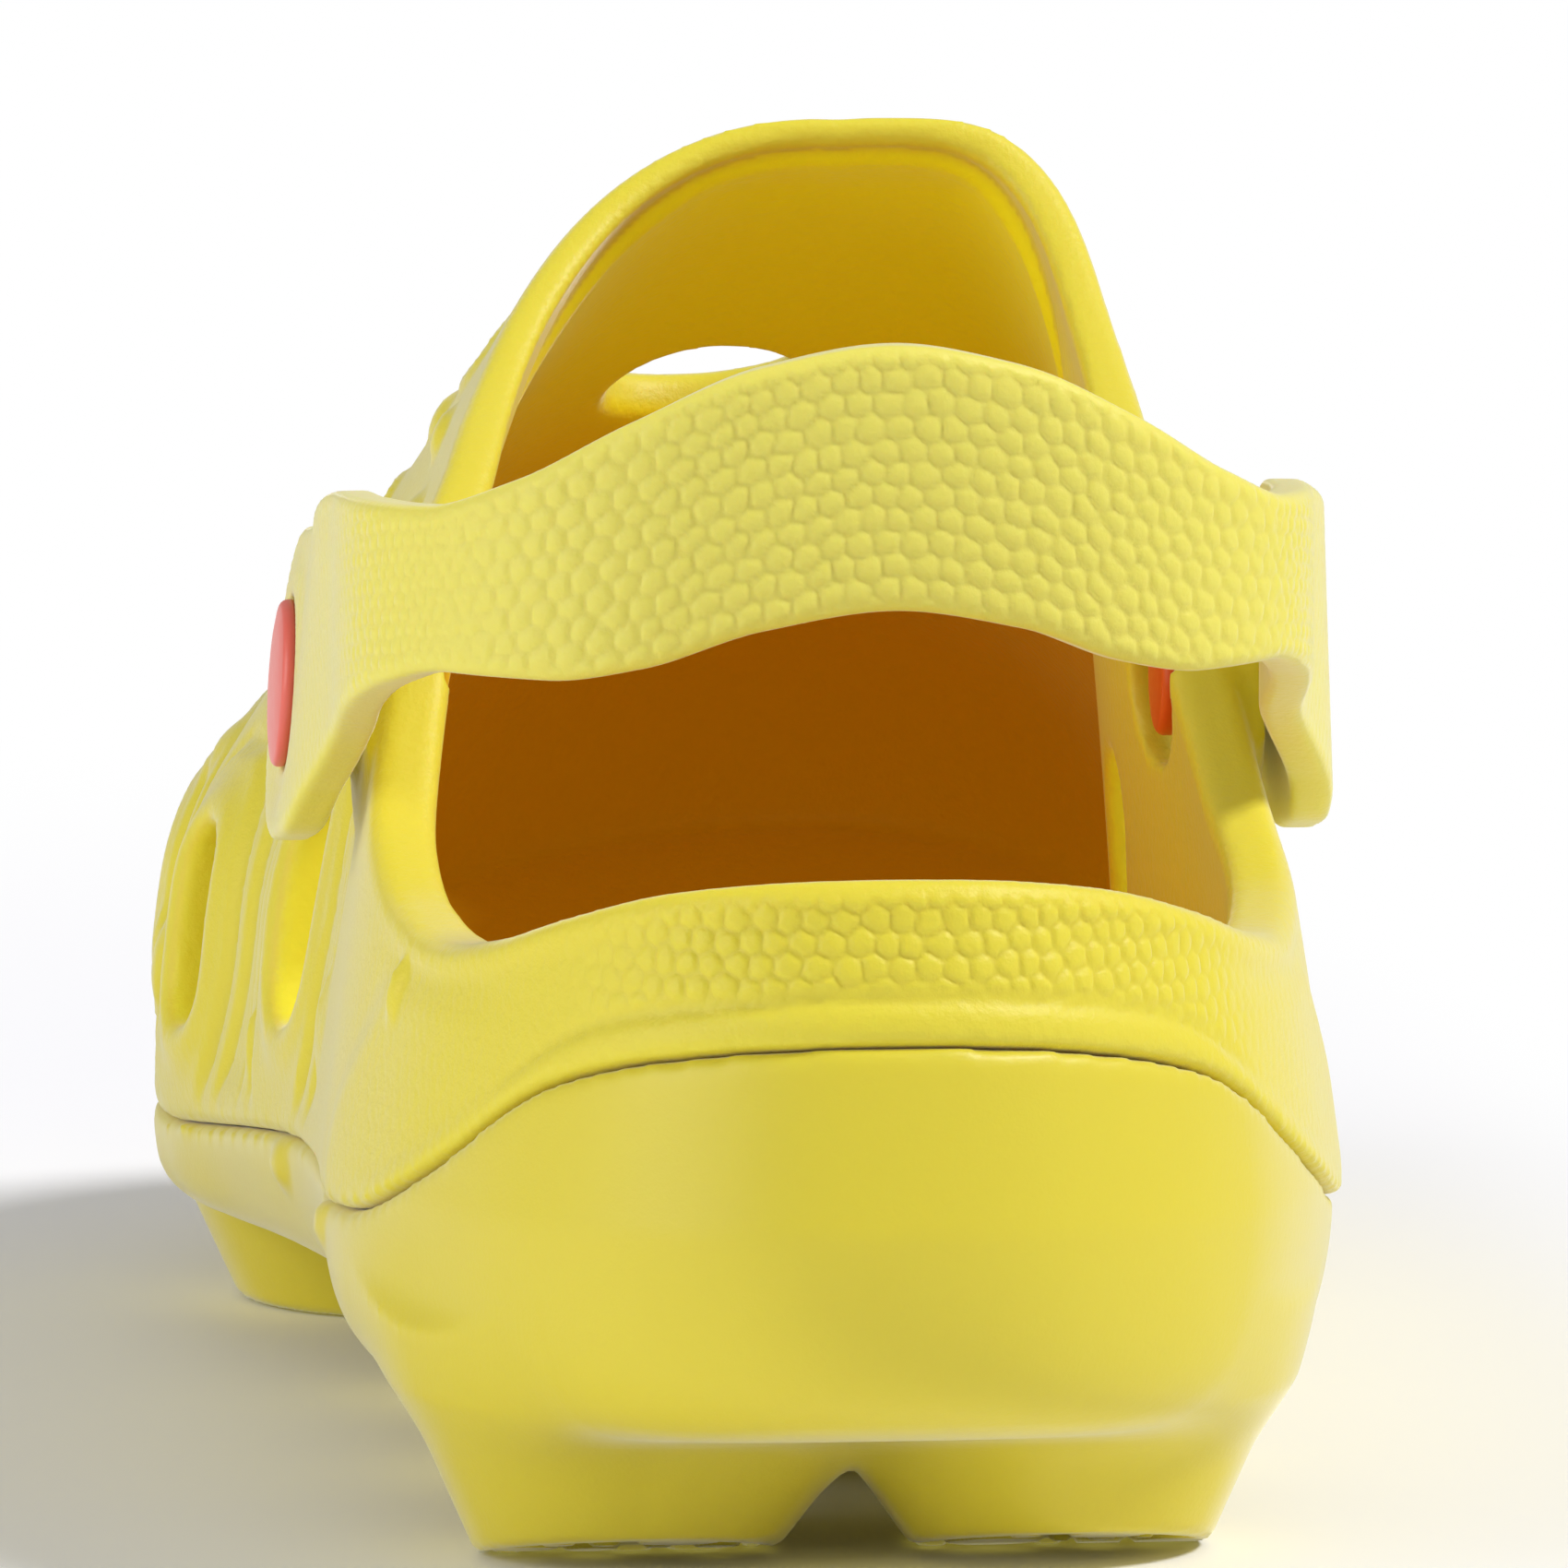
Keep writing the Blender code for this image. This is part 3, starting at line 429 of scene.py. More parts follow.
def foot_field(inset, drop, lift, floor_power, floor_round, band=11):
    rings = body_rings(inset, drop, lift, floor_power, floor_round)
    return body.of_mesh(*zipped(rings), band)


hull = blur(foot_field(inset=0, drop=0, lift=0, floor_power=15.0, floor_round=2.0))
room = blur(foot_field(inset=WALL, drop=VAMP_THICKNESS, lift=FOOTBED_RISE,
                       floor_power=5.5, floor_round=1.5))

# distance above the seam, shape (1, ny, nz)
seam_z = seam(ys)
for _ in range(8):
    seam_z = np.convolve(np.pad(seam_z, 3, mode="edge"), np.ones(7) / 7, mode="valid")
seam_cos = (1 / np.sqrt(1 + np.gradient(seam_z, ys) ** 2)).astype(F)[None, :, None]
over_seam = (body.z - seam_z.astype(F)[None, :, None]) * seam_cos

# distance above the rim of the opening; in front of it everything counts as well below
top_z = topline(ys)
top_slope = np.gradient(top_z, ys)
top_cos = (1 / np.sqrt(1 + top_slope ** 2)).astype(F)[None, :, None]
over_top = (body.z - top_z.astype(F)[None, :, None]) * top_cos
front = rise(106, 112, body.y)
over_top = over_top * (1 - front) + front * np.minimum(over_top, -12)


def nearest_index(axis, value):
    return int(np.argmin(abs(body.axes[axis] - value)))


def skin_above(x, y):
    """Point of the outer skin straight above (x, y)."""
    column = hull[nearest_index(0, x), nearest_index(1, y), :]
    k = np.nonzero(column < 0)[0]
    return x, y, body.axes[2][k[-1]] if len(k) else 0.0


def skin_beside(side, y, z):
    """Point of the outer skin straight out from (y, z) on a side."""
    row = hull[:, nearest_index(1, y), nearest_index(2, z)]
    i = np.nonzero(row < 0)[0]
    return body.axes[0][i[-1] if side > 0 else i[0]], y, z


def pivot_windows(reach):
    """Side, window, y, z, out distance and distance from the pivot axis, round each pivot."""
    for side in (-1, 1):
        w, gx, gy, gz = body.window(side_span(side, 18, 60), span(PIVOT_Y, reach),
                                    span(PIVOT_Z, reach))
        yield side, w, gy, gz, side * gx, np.hypot(gy - PIVOT_Y, gz - PIVOT_Z)


def slot_axes(slot, y, z):
    """Position across and along a slot."""
    c, s = math.cos(math.radians(slot.lean)), math.sin(math.radians(slot.lean))
    return (y - slot.y) * c + (z - slot.z) * s, -(y - slot.y) * s + (z - slot.z) * c


def slot_distance(slot, y, z, growth=0.0):
    """Distance to a slot, which has nearly straight sides and round ends."""
    u, v = slot_axes(slot, y, z)
    a, b = slot.half_width + growth, slot.half_height + growth
    bulge = a * (1 - 0.10 * np.clip(abs(v) / b, 0, 1) ** 2)
    return np.hypot(u, np.maximum(abs(v) - (b - a), 0)) - bulge


def vent_axes(vent, x, y, z):
    """Position across, along and through a vent, tipped with the top of the foot."""
    c, s = math.cos(VENT_TIP), math.sin(VENT_TIP)
    z0 = float(ridge(vent.y)) + 4
    return (x - vent.x, (y - vent.y) * c - (z - z0) * s, (y - vent.y) * s + (z - z0) * c)


def bead_top(y):
    """Height above the seam of the smooth bead round the heel."""
    return 0.5 + 3.6 * rise(-8, -34, y)


# ------------------------------------------------------- relief of the upper
def slot_relief(relief):
    """Rolled lip round each slot, and terraces that climb towards it."""
    for side in (-1, 1):
        w, gx, gy, gz = body.window(SLOT_SIDE[side], (60, 205), (15, 100))
        nearest = np.full((1, gy.shape[1], gz.shape[2]), 60, F)
        for slot in SLOTS:
            if slot.side != side:
                continue
            u, v = slot_axes(slot, gy, gz)
            # terraces follow an egg shape, lower and taller than the slot
            half = slot.half_height
            q = ellipse_distance(u + 0.16 * np.minimum(v + 0.3 * half, 0), v + 0.20 * half,
                                 slot.half_width + 0.5, half * 1.24)
            nearest = np.minimum(nearest, q)
            lip = slot_distance(slot, gy, gz)
            relief[w] += (0.9 * bell(lip - 2.6, 2.4)).astype(F)
        fade = rise(0.5, 7, gz - seam(gy.ravel())[None, :, None]) * fall(86, 98, gz)
        fade = fade * rise(64, 76, gy) * fall(190, 203, gy)
        # a fine groove at the foot of each terrace
        step = (terraces(nearest, (6.6,), 0.7, 0.7) + terraces(nearest, (12.0,), 0.6, 0.7)
                - 0.45 * bell(nearest - 7.8, 0.6) - 0.35 * bell(nearest - 13.2, 0.6))
        relief[w] += (fade * (step - 0.7)).astype(F)


def vent_relief(relief):
    """Lip and two shallow terraces round each vent."""
    for vent in VENTS:
        reach = max(vent.half_width, vent.half_length) + 11
        w, gx, gy, gz = body.window(span(vent.x, reach), span(vent.y, reach + 14), (40, 128))
        u, v, through = vent_axes(vent, gx, gy, gz)
        q = ellipse_distance(u, v, vent.half_width, vent.half_length)
        near = rise(-30, -22, through)
        steps = terraces(np.maximum(q, 0), (5.6, 8.4), 0.30, 0.6)
        relief[w] += (near * (1.05 * bell(q - 2.4, 1.9) + steps)).astype(F)


def about(point, size, stretch=(1, 1, 1)):
    """Window round a skin point, and the stretched distance from it over size."""
    r = size * max(stretch) * 2.0
    w, *axes = body.window(*(span(p, r) for p in point))
    dx, dy, dz = (((g - p) / s) ** 2 for g, p, s in zip(axes, point, stretch))
    return w, np.sqrt(dx + dy + dz) / size


def mound(relief, point, size, height, stretch=(1, 1, 1)):
    """Raised mound with a flat top and one shoulder."""
    w, d = about(point, size, stretch)
    relief[w] += (height * fall(0.35, 1.15, d)).astype(F)


def crater(relief, point, size, depth, lip):
    w, d = about(point, size)
    relief[w] += (lip * bell(d - 1.05, 0.24) - depth * fall(0.35, 0.95, d)).astype(F)


def scattered_relief(relief):
    """Mounds and small craters scattered over the top of the foot and the toe."""
    rng = np.random.default_rng(11)
    placed = [(v.x, v.y, max(v.half_width, v.half_length) + 3.0) for v in VENTS]
    tries = 0
    while tries < 2400 and len(placed) < 64:
        tries += 1
        x, y = rng.uniform(-52, 58), rng.uniform(112, 240)
        size = rng.uniform(3.0, 6.2)
        middle = 5 + 0.03 * (y - 170)
        # the strip they lie in widens towards y = 170, then rounds off to the toe
        if y < 170:
            half = 34 + 12 * (y - 112) / 58
        else:
            half = 50 * math.sqrt(max(0.02, 1 - max(0, (y - 170) / 76) ** 2)) - 6
        if abs(x - middle) > half or any(
                math.hypot(x - a, y - b) < size + c + 0.6 for a, b, c in placed):
            continue
        placed.append((x, y, size))
        point = skin_above(x, y)
        if rng.random() < 0.38 and size > 3.6:
            crater(relief, point, size * 0.86, depth=0.85, lip=0.75)
        else:
            mound(relief, point, size, rng.uniform(0.8, 1.5))


def side_relief(relief):
    """Ribs under the ears, the outer swelling and the heel counter's front edge."""
    for side, ribs in ((-1, ((71, 0.55), (77, 0.45))), (1, ((64, 0.35), (70, 0.35)))):
        w, gx, gy, gz = body.window(side_span(side, 20, 70), (60, 84), (34, 66))
        for y0, height in ribs:
            relief[w] += (height * bell(gy - y0 - 0.06 * (gz - 50), 1.1)
                          * rise(36, 42, gz) * fall(58, 63, gz)).astype(F)
    # the outer side swells a little at mid height over the ball of the foot
    w, gx, gy, gz = body.window((-70, -20), (76, 196), (24, 80))
    relief[w] += (2.0 * bell(gz - 50, 12) * rise(82, 112, gy) * fall(168, 192, gy)).astype(F)
    # the heel counter stands proud of the waist; its edge runs down from under the collar
    w, gx, gy, gz = body.window((-70, 70), (-30, 50), (20, 72))
    edge_y = 27 - 15 * rise(34, 54, gz)
    relief[w] += (0.7 * fall(-4.0, 4.0, gy - edge_y) * rise(24, 31, gz) * fall(50, 55, gz)
                  * rise(-30, 6, gy) * (abs(gx) > 25)).astype(F)


def upper_relief():
    """How far the upper's skin stands out from the plain hull."""
    relief = np.zeros(body.n, F)
    slot_relief(relief)
    vent_relief(relief)
    for side, y, z, size, height, stretch_y, stretch_z in SIDE_MOUNDS:
        mound(relief, skin_beside(side, y, z), size, height, (1.0, stretch_y, stretch_z))
    scattered_relief(relief)
    side_relief(relief)
    # nothing in the way of the ears
    w, gx, gy, gz = body.window((-70, 70), (30, 84), (50, 100))
    relief[w] *= rise(EAR_RADIUS + 0.5, EAR_RADIUS + 5,
                      np.hypot(gy - PIVOT_Y, gz - PIVOT_Z)).astype(F)
    # heel counter: smooth bead above the seam, narrow groove over it, slightly sunk band
    above_bead = over_seam - bead_top(body.y)
    relief += (rise(-6, -22, body.y) * (-0.70 * bell(above_bead - 0.1, 0.62))
               * (over_top < -3)).astype(F)
    relief += (rise(24, 4, body.y) * (-0.45) * rise(0.3, 1.2, above_bead)
               * rise(-1.5, -4.0, over_top)).astype(F)
    # a little proud of the outsole all along the seam
    relief += (0.16 * bell(over_seam - 1.2, 1.4)).astype(F)
    relief *= rise(0.0, 1.2, over_seam + 1.5)
    return relief


# ----------------------------------------------------------------- upper field
def add_bosses(upper):
    """Pivot bosses on wider shoulders, cut back to clear the ears."""
    for side, w, gy, gz, out, rad in pivot_windows(22):
        face = EAR_FACE[side] - BOSS_SET_IN[side]
        boss = round_max(rad - BOSS_R, slab(out, PAD_FACE[side], face), 0.9)
        shoulder = EAR_FACE[side] - SHOULDER_SET_IN[side]
        wide = round_max(rad - SHOULDER_R, slab(out, PAD_FACE[side], shoulder), 2.4)
        wide = np.maximum(wide, gz - (topline(gy.ravel())[None, :, None] - 3.0))
        part = soft_min(soft_min(upper[w], boss, 1.6), wide, 1.6)
        upper[w] = np.maximum(part, np.where(rad < EAR_RADIUS + 1.5, out - face, -60))


def foot_opening(rim_r):
    """What is kept round the room for the foot; the bosses' inner ends stay proud of it."""
    thinned = room - 1.5 * rise(60, 92, body.y) * rise(-16, -3, over_top)
    keep = round_max(-thinned, over_top, rim_r)
    for side, w, gy, gz, out, rad in pivot_windows(22):
        pad = round_max(rad - BOSS_R, PAD_FACE[side] - out, 0.9)
        keep[w] = soft_min(keep[w], pad, 1.4)
    return keep


def cut_openings(upper):
    """Side slots, top vents, and the cap seats and bores of the rivets."""
    for slot in SLOTS:
        reach = slot.half_height + 8
        w, gx, gy, gz = body.window(SLOT_SIDE[slot.side], span(slot.y, reach),
                                    span(slot.z, reach))
        upper[w] = round_max(upper[w], -slot_distance(slot, gy, gz, SLOT_GROWTH), 1.3)
    for vent in VENTS:
        reach = max(vent.half_width, vent.half_length) + 8
        w, gx, gy, gz = body.window(span(vent.x, reach), span(vent.y, reach + 16), (50, 128))
        u, v, through = vent_axes(vent, gx, gy, gz)
        q = ellipse_distance(u, v, vent.half_width + 0.3, vent.half_length + 0.3)
        upper[w] = round_max(upper[w], -np.maximum(q, -30 - through), 1.7)
    for side, w, gy, gz, out, rad in pivot_windows(14):
        along = (out - CAP_SEAT_START) / (PAD_FACE[side] - CAP_SEAT_START)
        seat = np.maximum(rad - (CAP_R + 1 + 2 * along), out - PAD_FACE[side])
        upper[w] = round_max(round_max(upper[w], -seat, 0.5), BORE_R - rad, 0.3)


def upper_field():
    # the rim is a full round at the heel and sides, and thinner over the foot
    rim_r = 1.6 + 0.3 * rise(-20, 20, body.y) - 0.7 * rise(60, 90, body.y)
    upper = round_max(hull - upper_relief(), over_top, rim_r)
    add_bosses(upper)
    upper = round_max(upper, SEAM_GAP / 2 - over_seam, 0.5)
    # the part below the seam that fills the outsole
    bucket = foot_field(inset=OUTSOLE_WALL + GAP, drop=6, lift=OUTSOLE_FLOOR + GAP,
                        floor_power=11.0, floor_round=1.7, band=5)
    upper = np.minimum(upper, np.maximum(bucket, over_seam - 2.5))
    upper = np.maximum(upper, foot_opening(rim_r))
    cut_openings(upper)
    return upper


# --------------------------------------------------------------- outsole field
def lug_axes(n, x, y, z):
    """Position in a lug's face plane, height over the plane, and the face's own height."""
    lug = LUGS[n]
    c, s = math.cos(math.radians(lug.tilt)), math.sin(math.radians(lug.tilt))
    along = (y - lug.y) * c + (z - lug.face) * s
    above = -(y - lug.y) * s + (z - lug.face) * c
    face = 0.0
    if n < HEEL_LUGS:                    # the faces of the heel lugs slope up to the back
        face = np.maximum(0, -along) * math.tan(math.radians(HEEL_FACE_TILT)) * 1.3
    return x - lug.x, along, above, face


def sole_relief():
    """How far the outsole stands out from the plain hull."""
    relief = np.zeros(body.n, F)
    below = fall(-4, 4, body.z - widest(ys).astype(F)[None, :, None])
    # sunk ground with a raised edge round each lug
    for n, lug in enumerate(LUGS):
        reach = lug.radius * 2.0
        w, gx, gy, gz = body.window(span(lug.x, reach), span(lug.y, reach), (-5, 48))
        rho = np.hypot(gx - lug.x, gy - lug.y) / lug.radius
        keep = below[:, w[1], w[2]]
        if n < HEEL_LUGS:
            keep = keep * rise(9, 19, gy)
        dish = -1.7 * fall(1.12, 1.46, rho) + 0.55 * bell(rho - 1.52, 0.11)
        relief[w] += (keep * dish).astype(F)
    points = [skin_beside(*row) for row in SOLE_SIDE_MOUNDS] + list(SOLE_TOE_MOUNDS)
    for x, y, z in points:
        w, gx, gy, gz = body.window(span(x, 9), span(y, 9), span(z, 9))
        d = np.sqrt((gx - x) ** 2 + ((gy - y) / 1.15) ** 2 + ((gz - z) / 0.9) ** 2) / 3.4
        relief[w] += (1.25 * fall(0.25, 1.1, d)).astype(F)
    # the outer side stays full below its widest level, at the heel and under the ball
    w, gx, gy, gz = body.window((-66, -20), (-28, 44), (2, 36))
    relief[w] += (2.3 * bell(gz - 21.5, 8.0) * bell(gy - 9, 19)).astype(F)
    w, gx, gy, gz = body.window((-66, -20), (84, 214), (0, 32))
    relief[w] += (1.9 * bell(gz - 13.3, 4.6) * bell(gy - 150, 38)).astype(F)
    return relief


def add_lug(outsole, n):
    """Lug with a flat face and walls that spread upwards into the sole."""
    lug = LUGS[n]
    heel = n < HEEL_LUGS
    above_sole, wall_cos, blend = (7.0, 0.88, 5.5) if heel else (2.3, 0.96, 3.0)
    top = float(sole(lug.y)) + above_sole
    reach = lug.radius + 16
    w, gx, gy, gz = body.window(span(lug.x, reach), span(lug.y, reach), (-5, top + 10))
    px, py, pz, face = lug_axes(n, gx, gy, gz)
    rad = np.hypot(px, py)
    if heel:
        # the walls spread most towards the other lug, closing the notch between the two
        toward = np.clip((-px if lug.x > 0 else px) / np.maximum(rad, 1e-3), 0, 1)
        flare = 0.44 * np.clip(pz, 0, 16) * (1 + 0.85 * toward)
    else:
        flare = 0.46 * np.clip(pz, 0, 16)
    shape = round_max((rad - lug.radius - flare) * wall_cos, face - pz, 0.6)
    shape = np.maximum(shape, pz - (top - lug.face) - 1.0)
    outsole[w] = soft_min(outsole[w], shape, blend)


def outsole_field():
    outsole = hull - sole_relief()
    for n in range(len(LUGS)):
        add_lug(outsole, n)
    # narrow notch with a round top between the two heel lugs
    w, gx, gy, gz = body.window((-16, 12), (-46, 30), (-5, 14))
    notch = (np.hypot(gx + 2.1, 0.7) - (6.5 - 0.68 * gz)) / 1.21
    outsole[w] = round_max(outsole[w], -notch, 1.0)
    # the blend between the two heel lugs must not go below the floor plane
    outsole = np.maximum(outsole, -body.z)
    outsole = round_max(outsole, over_seam + SEAM_GAP / 2, 0.5)
    hollow = foot_field(inset=OUTSOLE_WALL, drop=5.5, lift=OUTSOLE_FLOOR,
                        floor_power=11.0, floor_round=1.7, band=5)
    return np.maximum(outsole, -hollow)


# --------------------------------------------------------------------- meshes
def to_row(points):
    return (np.asarray(points, float) - CENTRE) * 0.001


def in_scene(name, data):
    obj = bpy.data.objects.new(name, data)
    bpy.context.scene.collection.objects.link(obj)
    return obj


def make_mesh(name, points, quads):
    mesh = bpy.data.meshes.new(name)
    mesh.vertices.add(len(points))
    mesh.vertices.foreach_set("co", to_row(points).astype(F).ravel())
    mesh.loops.add(quads.size)
    mesh.loops.foreach_set("vertex_index", quads.astype(np.int32).ravel())
    mesh.polygons.add(len(quads))
    mesh.polygons.foreach_set("loop_start", np.arange(0, quads.size, 4, dtype=np.int32))
    mesh.update(calc_edges=True)
    mesh.validate()
    mesh.shade_smooth()
    return in_scene(name, mesh)


def coordinates(obj):
    co = np.zeros(len(obj.data.vertices) * 3, F)
    obj.data.vertices.foreach_get("co", co)
    return co.reshape(-1, 3).astype(float) * 1000 + CENTRE


def set_coordinates(obj, co):
    obj.data.vertices.foreach_set("co", to_row(co).astype(F).ravel())
    obj.data.update()


def normals(obj):
    no = np.zeros(len(obj.data.vertices) * 3, F)
    obj.data.vertex_normals.foreach_get("vector", no)
    return no.reshape(-1, 3).astype(float)


def refine(obj, mask):
    """Cut the faces whose vertices are all in the mask into four."""
    bm = bmesh.new()
    bm.from_mesh(obj.data)
    bm.verts.ensure_lookup_table()
    faces = [f for f in bm.faces if all(mask[v.index] for v in f.verts)]
    edges = list({e for f in faces for e in f.edges})
    bmesh.ops.subdivide_edges(bm, edges=edges, cuts=1, use_grid_fill=True)
    bm.to_mesh(obj.data)
    bm.free()
    obj.data.shade_smooth()


def push(obj, amount):
    """Move vertices along their normals by amounts in millimetres."""
    set_coordinates(obj, coordinates(obj) + normals(obj) * amount[:, None])


def relax_seam(obj):
    """Even out the vertices beside the seam."""
    e = np.zeros(len(obj.data.edges) * 2, np.int32)
    obj.data.edges.foreach_get("vertices", e)
    e = e.reshape(-1, 2)
    co = coordinates(obj)
    above = abs(co[:, 2] - np.interp(co[:, 1], ys, seam_z))
    share = fall(1.5, 3.0, above * np.interp(co[:, 1], ys, seam_cos.ravel()))
    count = np.maximum(np.bincount(e.ravel(), minlength=len(co)), 1)[:, None]
    for _ in range(7):
        total = np.stack([np.bincount(e[:, 0], co[e[:, 1], k], len(co))
                          + np.bincount(e[:, 1], co[e[:, 0], k], len(co))
                          for k in range(3)], axis=1)
        co = co + 0.5 * share[:, None] * (total / count - co)
    set_coordinates(obj, co)


def hashed(i, j, seed):
    """Repeatable pseudo-random pair in 0..1 for each cell."""
    h = (i.astype(np.int64) * 73856093) ^ (j.astype(np.int64) * 19349663) ^ (seed * 83492791)
    h = (h ^ (h >> 13)) * 1274126177
    h = h ^ (h >> 16)
    return (h & 1023) / 1023.0, ((h >> 10) & 1023) / 1023.0


def pebbles(u, v, pitch, seed):
    """Height 0..1 of packed rounded pebbles on a plane, low in the lines between them."""
    jitter = 0.36
    rows = pitch * 0.88
    j = np.floor(v / rows)
    first = np.full(u.shape, 9.0)        # distances to the nearest two pebbles
    second = np.full(u.shape, 9.0)
    for dj in (-1, 0, 1):
        jj = j + dj
        shift = 0.5 * (jj % 2)
        i = np.floor(u / pitch - shift)
        for di in (-1, 0, 1):
            ii = i + di
            a, b = hashed(ii, jj, seed)
            cu = (ii + shift + 0.5 + jitter * (a - 0.5)) * pitch
            cv = (jj + 0.5 + jitter * (b - 0.5)) * rows
            d = np.hypot(u - cu, v - cv) / pitch
            closer = d < first
            second = np.where(closer, first, np.minimum(second, d))
            first = np.where(closer, d, first)
    groove = rise(0.0, 0.34, second - first)
    return groove * (1 - 0.45 * np.clip(first / 0.6, 0, 1) ** 2)


def paint(obj, name, values):
    attribute = obj.data.attributes.new(name, "FLOAT", "POINT")
    attribute.data.foreach_set("value", np.asarray(values, F))


# ---------------------------------------------------------------- upper shell
def heel_band(co, no):
    """Share of the pebbled heel band at each point, 0 elsewhere."""
    y, z = co[:, 1], co[:, 2]
    low = z - seam(y) - bead_top(y) - 0.7
    high = topline(y) - 1.1 - z
    radial = np.stack([co[:, 0], (y - 10) * (y < 10)], axis=1)
    radial /= np.maximum(np.hypot(radial[:, 0], radial[:, 1]), 1e-6)[:, None]
    outward = (no[:, :2] * radial).sum(1)
    return rise(0, 1.2, low) * rise(0, 1.4, high) * rise(0.35, 0.7, outward) * fall(10, 30, y)


def paint_glow_masks(obj, co):
    """Masks for the painted glow on the inner faces and the slot walls, for the inner walls,
    and the depth in the shoe.
    """
    near_room = fall(0.6, 2.2, abs(body.sample(room, co)))
    y, z = co[:, 1], co[:, 2]
    slope = np.interp(y, ys, top_slope)
    from_rim = np.where(y > 108, -40, (z - topline(y)) / np.sqrt(1 + slope ** 2))
    hidden = rise(-2.5, -20, from_rim)
    beside = rise(16, 28, co[:, 0]) * fall(84, 104, y) * rise(36, 50, z)
    wall_share = np.zeros(len(co))
    for slot in SLOTS:
        q = slot_distance(slot, y, z, SLOT_GROWTH)
        wall_share = np.maximum(wall_share, fall(0.1, 0.9, q) * (slot.side * co[:, 0] > 20))
    # painted glow: inner walls below the rim, weaker on the inner side by the heel where that
    # wall looks lit, and at half strength on the slot walls
    inside = np.maximum(near_room * hidden * (1 - 0.85 * beside), 0.5 * wall_share)
    paint(obj, "inside", inside)
    paint(obj, "lining", near_room)
    # depth in the shoe: lower down the painted glow turns more orange and dimmer, a painted
    # shade
    paint(obj, "deep", rise(104, 66, z) * (1 - wall_share))


def build_upper():
    obj = make_mesh("upper_shell_foam", *body.surface(upper_field()))
    relax_seam(obj)
    co = coordinates(obj)
    band = heel_band(co, normals(obj))
    refine(obj, band > 0.0)
    co = coordinates(obj)
    band = heel_band(co, normals(obj))
    turn = np.arctan2(co[:, 0], -(co[:, 1] - 2.0))       # angle round the heel
    strength = 1 - 0.92 * rise(0.46, 1.0, abs(turn - 0.08))
    push(obj, band * 0.34 * strength * pebbles(turn * 44, co[:, 2] + 200, 2.45, seed=5))
    paint(obj, "pebbled", band * strength)
    paint_glow_masks(obj, co)
    return obj


# -------------------------------------------------------------------- outsole
def disc_pattern(n):
    """Discs packed on one lug face (x, y, radius), large ones first, cut off by its edge."""
    r = LUGS[n].radius
    rng = np.random.default_rng(100 + n)
    discs = []
    for share, tries, wanted in DISC_SIZES:
        for _ in range(tries):
            size = r * share * rng.uniform(0.88, 1.12)
            a, d = rng.uniform(0, 2 * math.pi), r * math.sqrt(rng.uniform(0, 1)) * 0.99
            px, py = d * math.cos(a), d * math.sin(a)
            if d > r * 0.95 - (size if share < 0.2 else size * 0.35):
                continue
            if all(math.hypot(px - q[0], py - q[1]) > size + q[2] + 0.55 for q in discs):
                discs.append((px, py, size))
            if len([q for q in discs if q[2] > r * share * 0.87]) >= wanted:
                break
    return discs


def lug_faces(co, height):
    """For each lug: its number, plan position over its face, and the points below height."""
    for n, lug in enumerate(LUGS):
        px, py, pz, face = lug_axes(n, co[:, 0], co[:, 1], co[:, 2])
        yield n, px, py, (np.hypot(px, py) < lug.radius + LUG_FACE_EDGE) & (pz - face < height)


def build_outsole():
    obj = make_mesh("outsole_foam", *body.surface(outsole_field()))
    relax_seam(obj)
    co = coordinates(obj)
    mask = np.zeros(len(co), bool)
    for n, px, py, on in lug_faces(co, 1.0):
        mask |= on
    refine(obj, mask)
    co = coordinates(obj)
    # the faces are sunk between the discs, so that the discs stand on the ground plane
    sunk = np.zeros(len(co))
    faces_at = np.zeros(len(co))
    for n, px, py, on in lug_faces(co, 1.2):
        r = LUGS[n].radius
        within = fall(r - 0.9, r - 0.5, np.hypot(px, py))
        disc = np.zeros(len(co))
        for qx, qy, size in disc_pattern(n):
            disc = np.maximum(disc, fall(size - 0.22, size + 0.22,
                                         np.hypot(px - qx, py - qy)))
        sunk = np.where(on, 0.5 * (1 - disc) * within, sunk)
        faces_at = np.where(on, 1.0, faces_at)
    co[:, 2] += sunk
    set_coordinates(obj, co)
    paint(obj, "lug_face", faces_at)
    return obj


# ----------------------------------------------------------------- heel strap
TURN_STATIONS, SIDE_STATIONS = 481, 120


def strap_line():
    """Middle line of the band in plan, from the outer ear round the heel to the inner."""
    left, right = STRAP_CORNER_X
    across = 0.5 * (left + right)
    half = 0.5 * (right - left)
    turn = np.linspace(-math.pi / 2, math.pi / 2, TURN_STATIONS)
    reach = STRAP_CORNER_Y - (STRAP_BACK_Y + STRAP_THICK / 2)
    x = across + half * np.sign(np.sin(turn)) * np.abs(np.sin(turn)) ** (2 / 2.4)
    y = STRAP_CORNER_Y - reach * np.abs(np.cos(turn)) ** (2 / 2.4)
    side_y = np.linspace(STRAP_CORNER_Y, PIVOT_Y + EAR_RADIUS, SIDE_STATIONS)[1:]
    ease = rise(STRAP_CORNER_Y, PIVOT_Y - 14, side_y)

    def side_line(side):
        corner = across + side * half
        ear = side * (EAR_FACE[side] + STRAP_THICK / 2)
        return np.stack([corner + (ear - across - side * half) * ease, side_y], axis=1)
    return np.concatenate([side_line(-1)[::-1], np.stack([x, y], axis=1), side_line(1)])


line = strap_line()
run = run_along(line)
heel_part = slice(SIDE_STATIONS, SIDE_STATIONS + TURN_STATIONS - 1)
middle = float(np.interp(STRAP_MIDDLE_X, line[heel_part, 0], run[heel_part]))


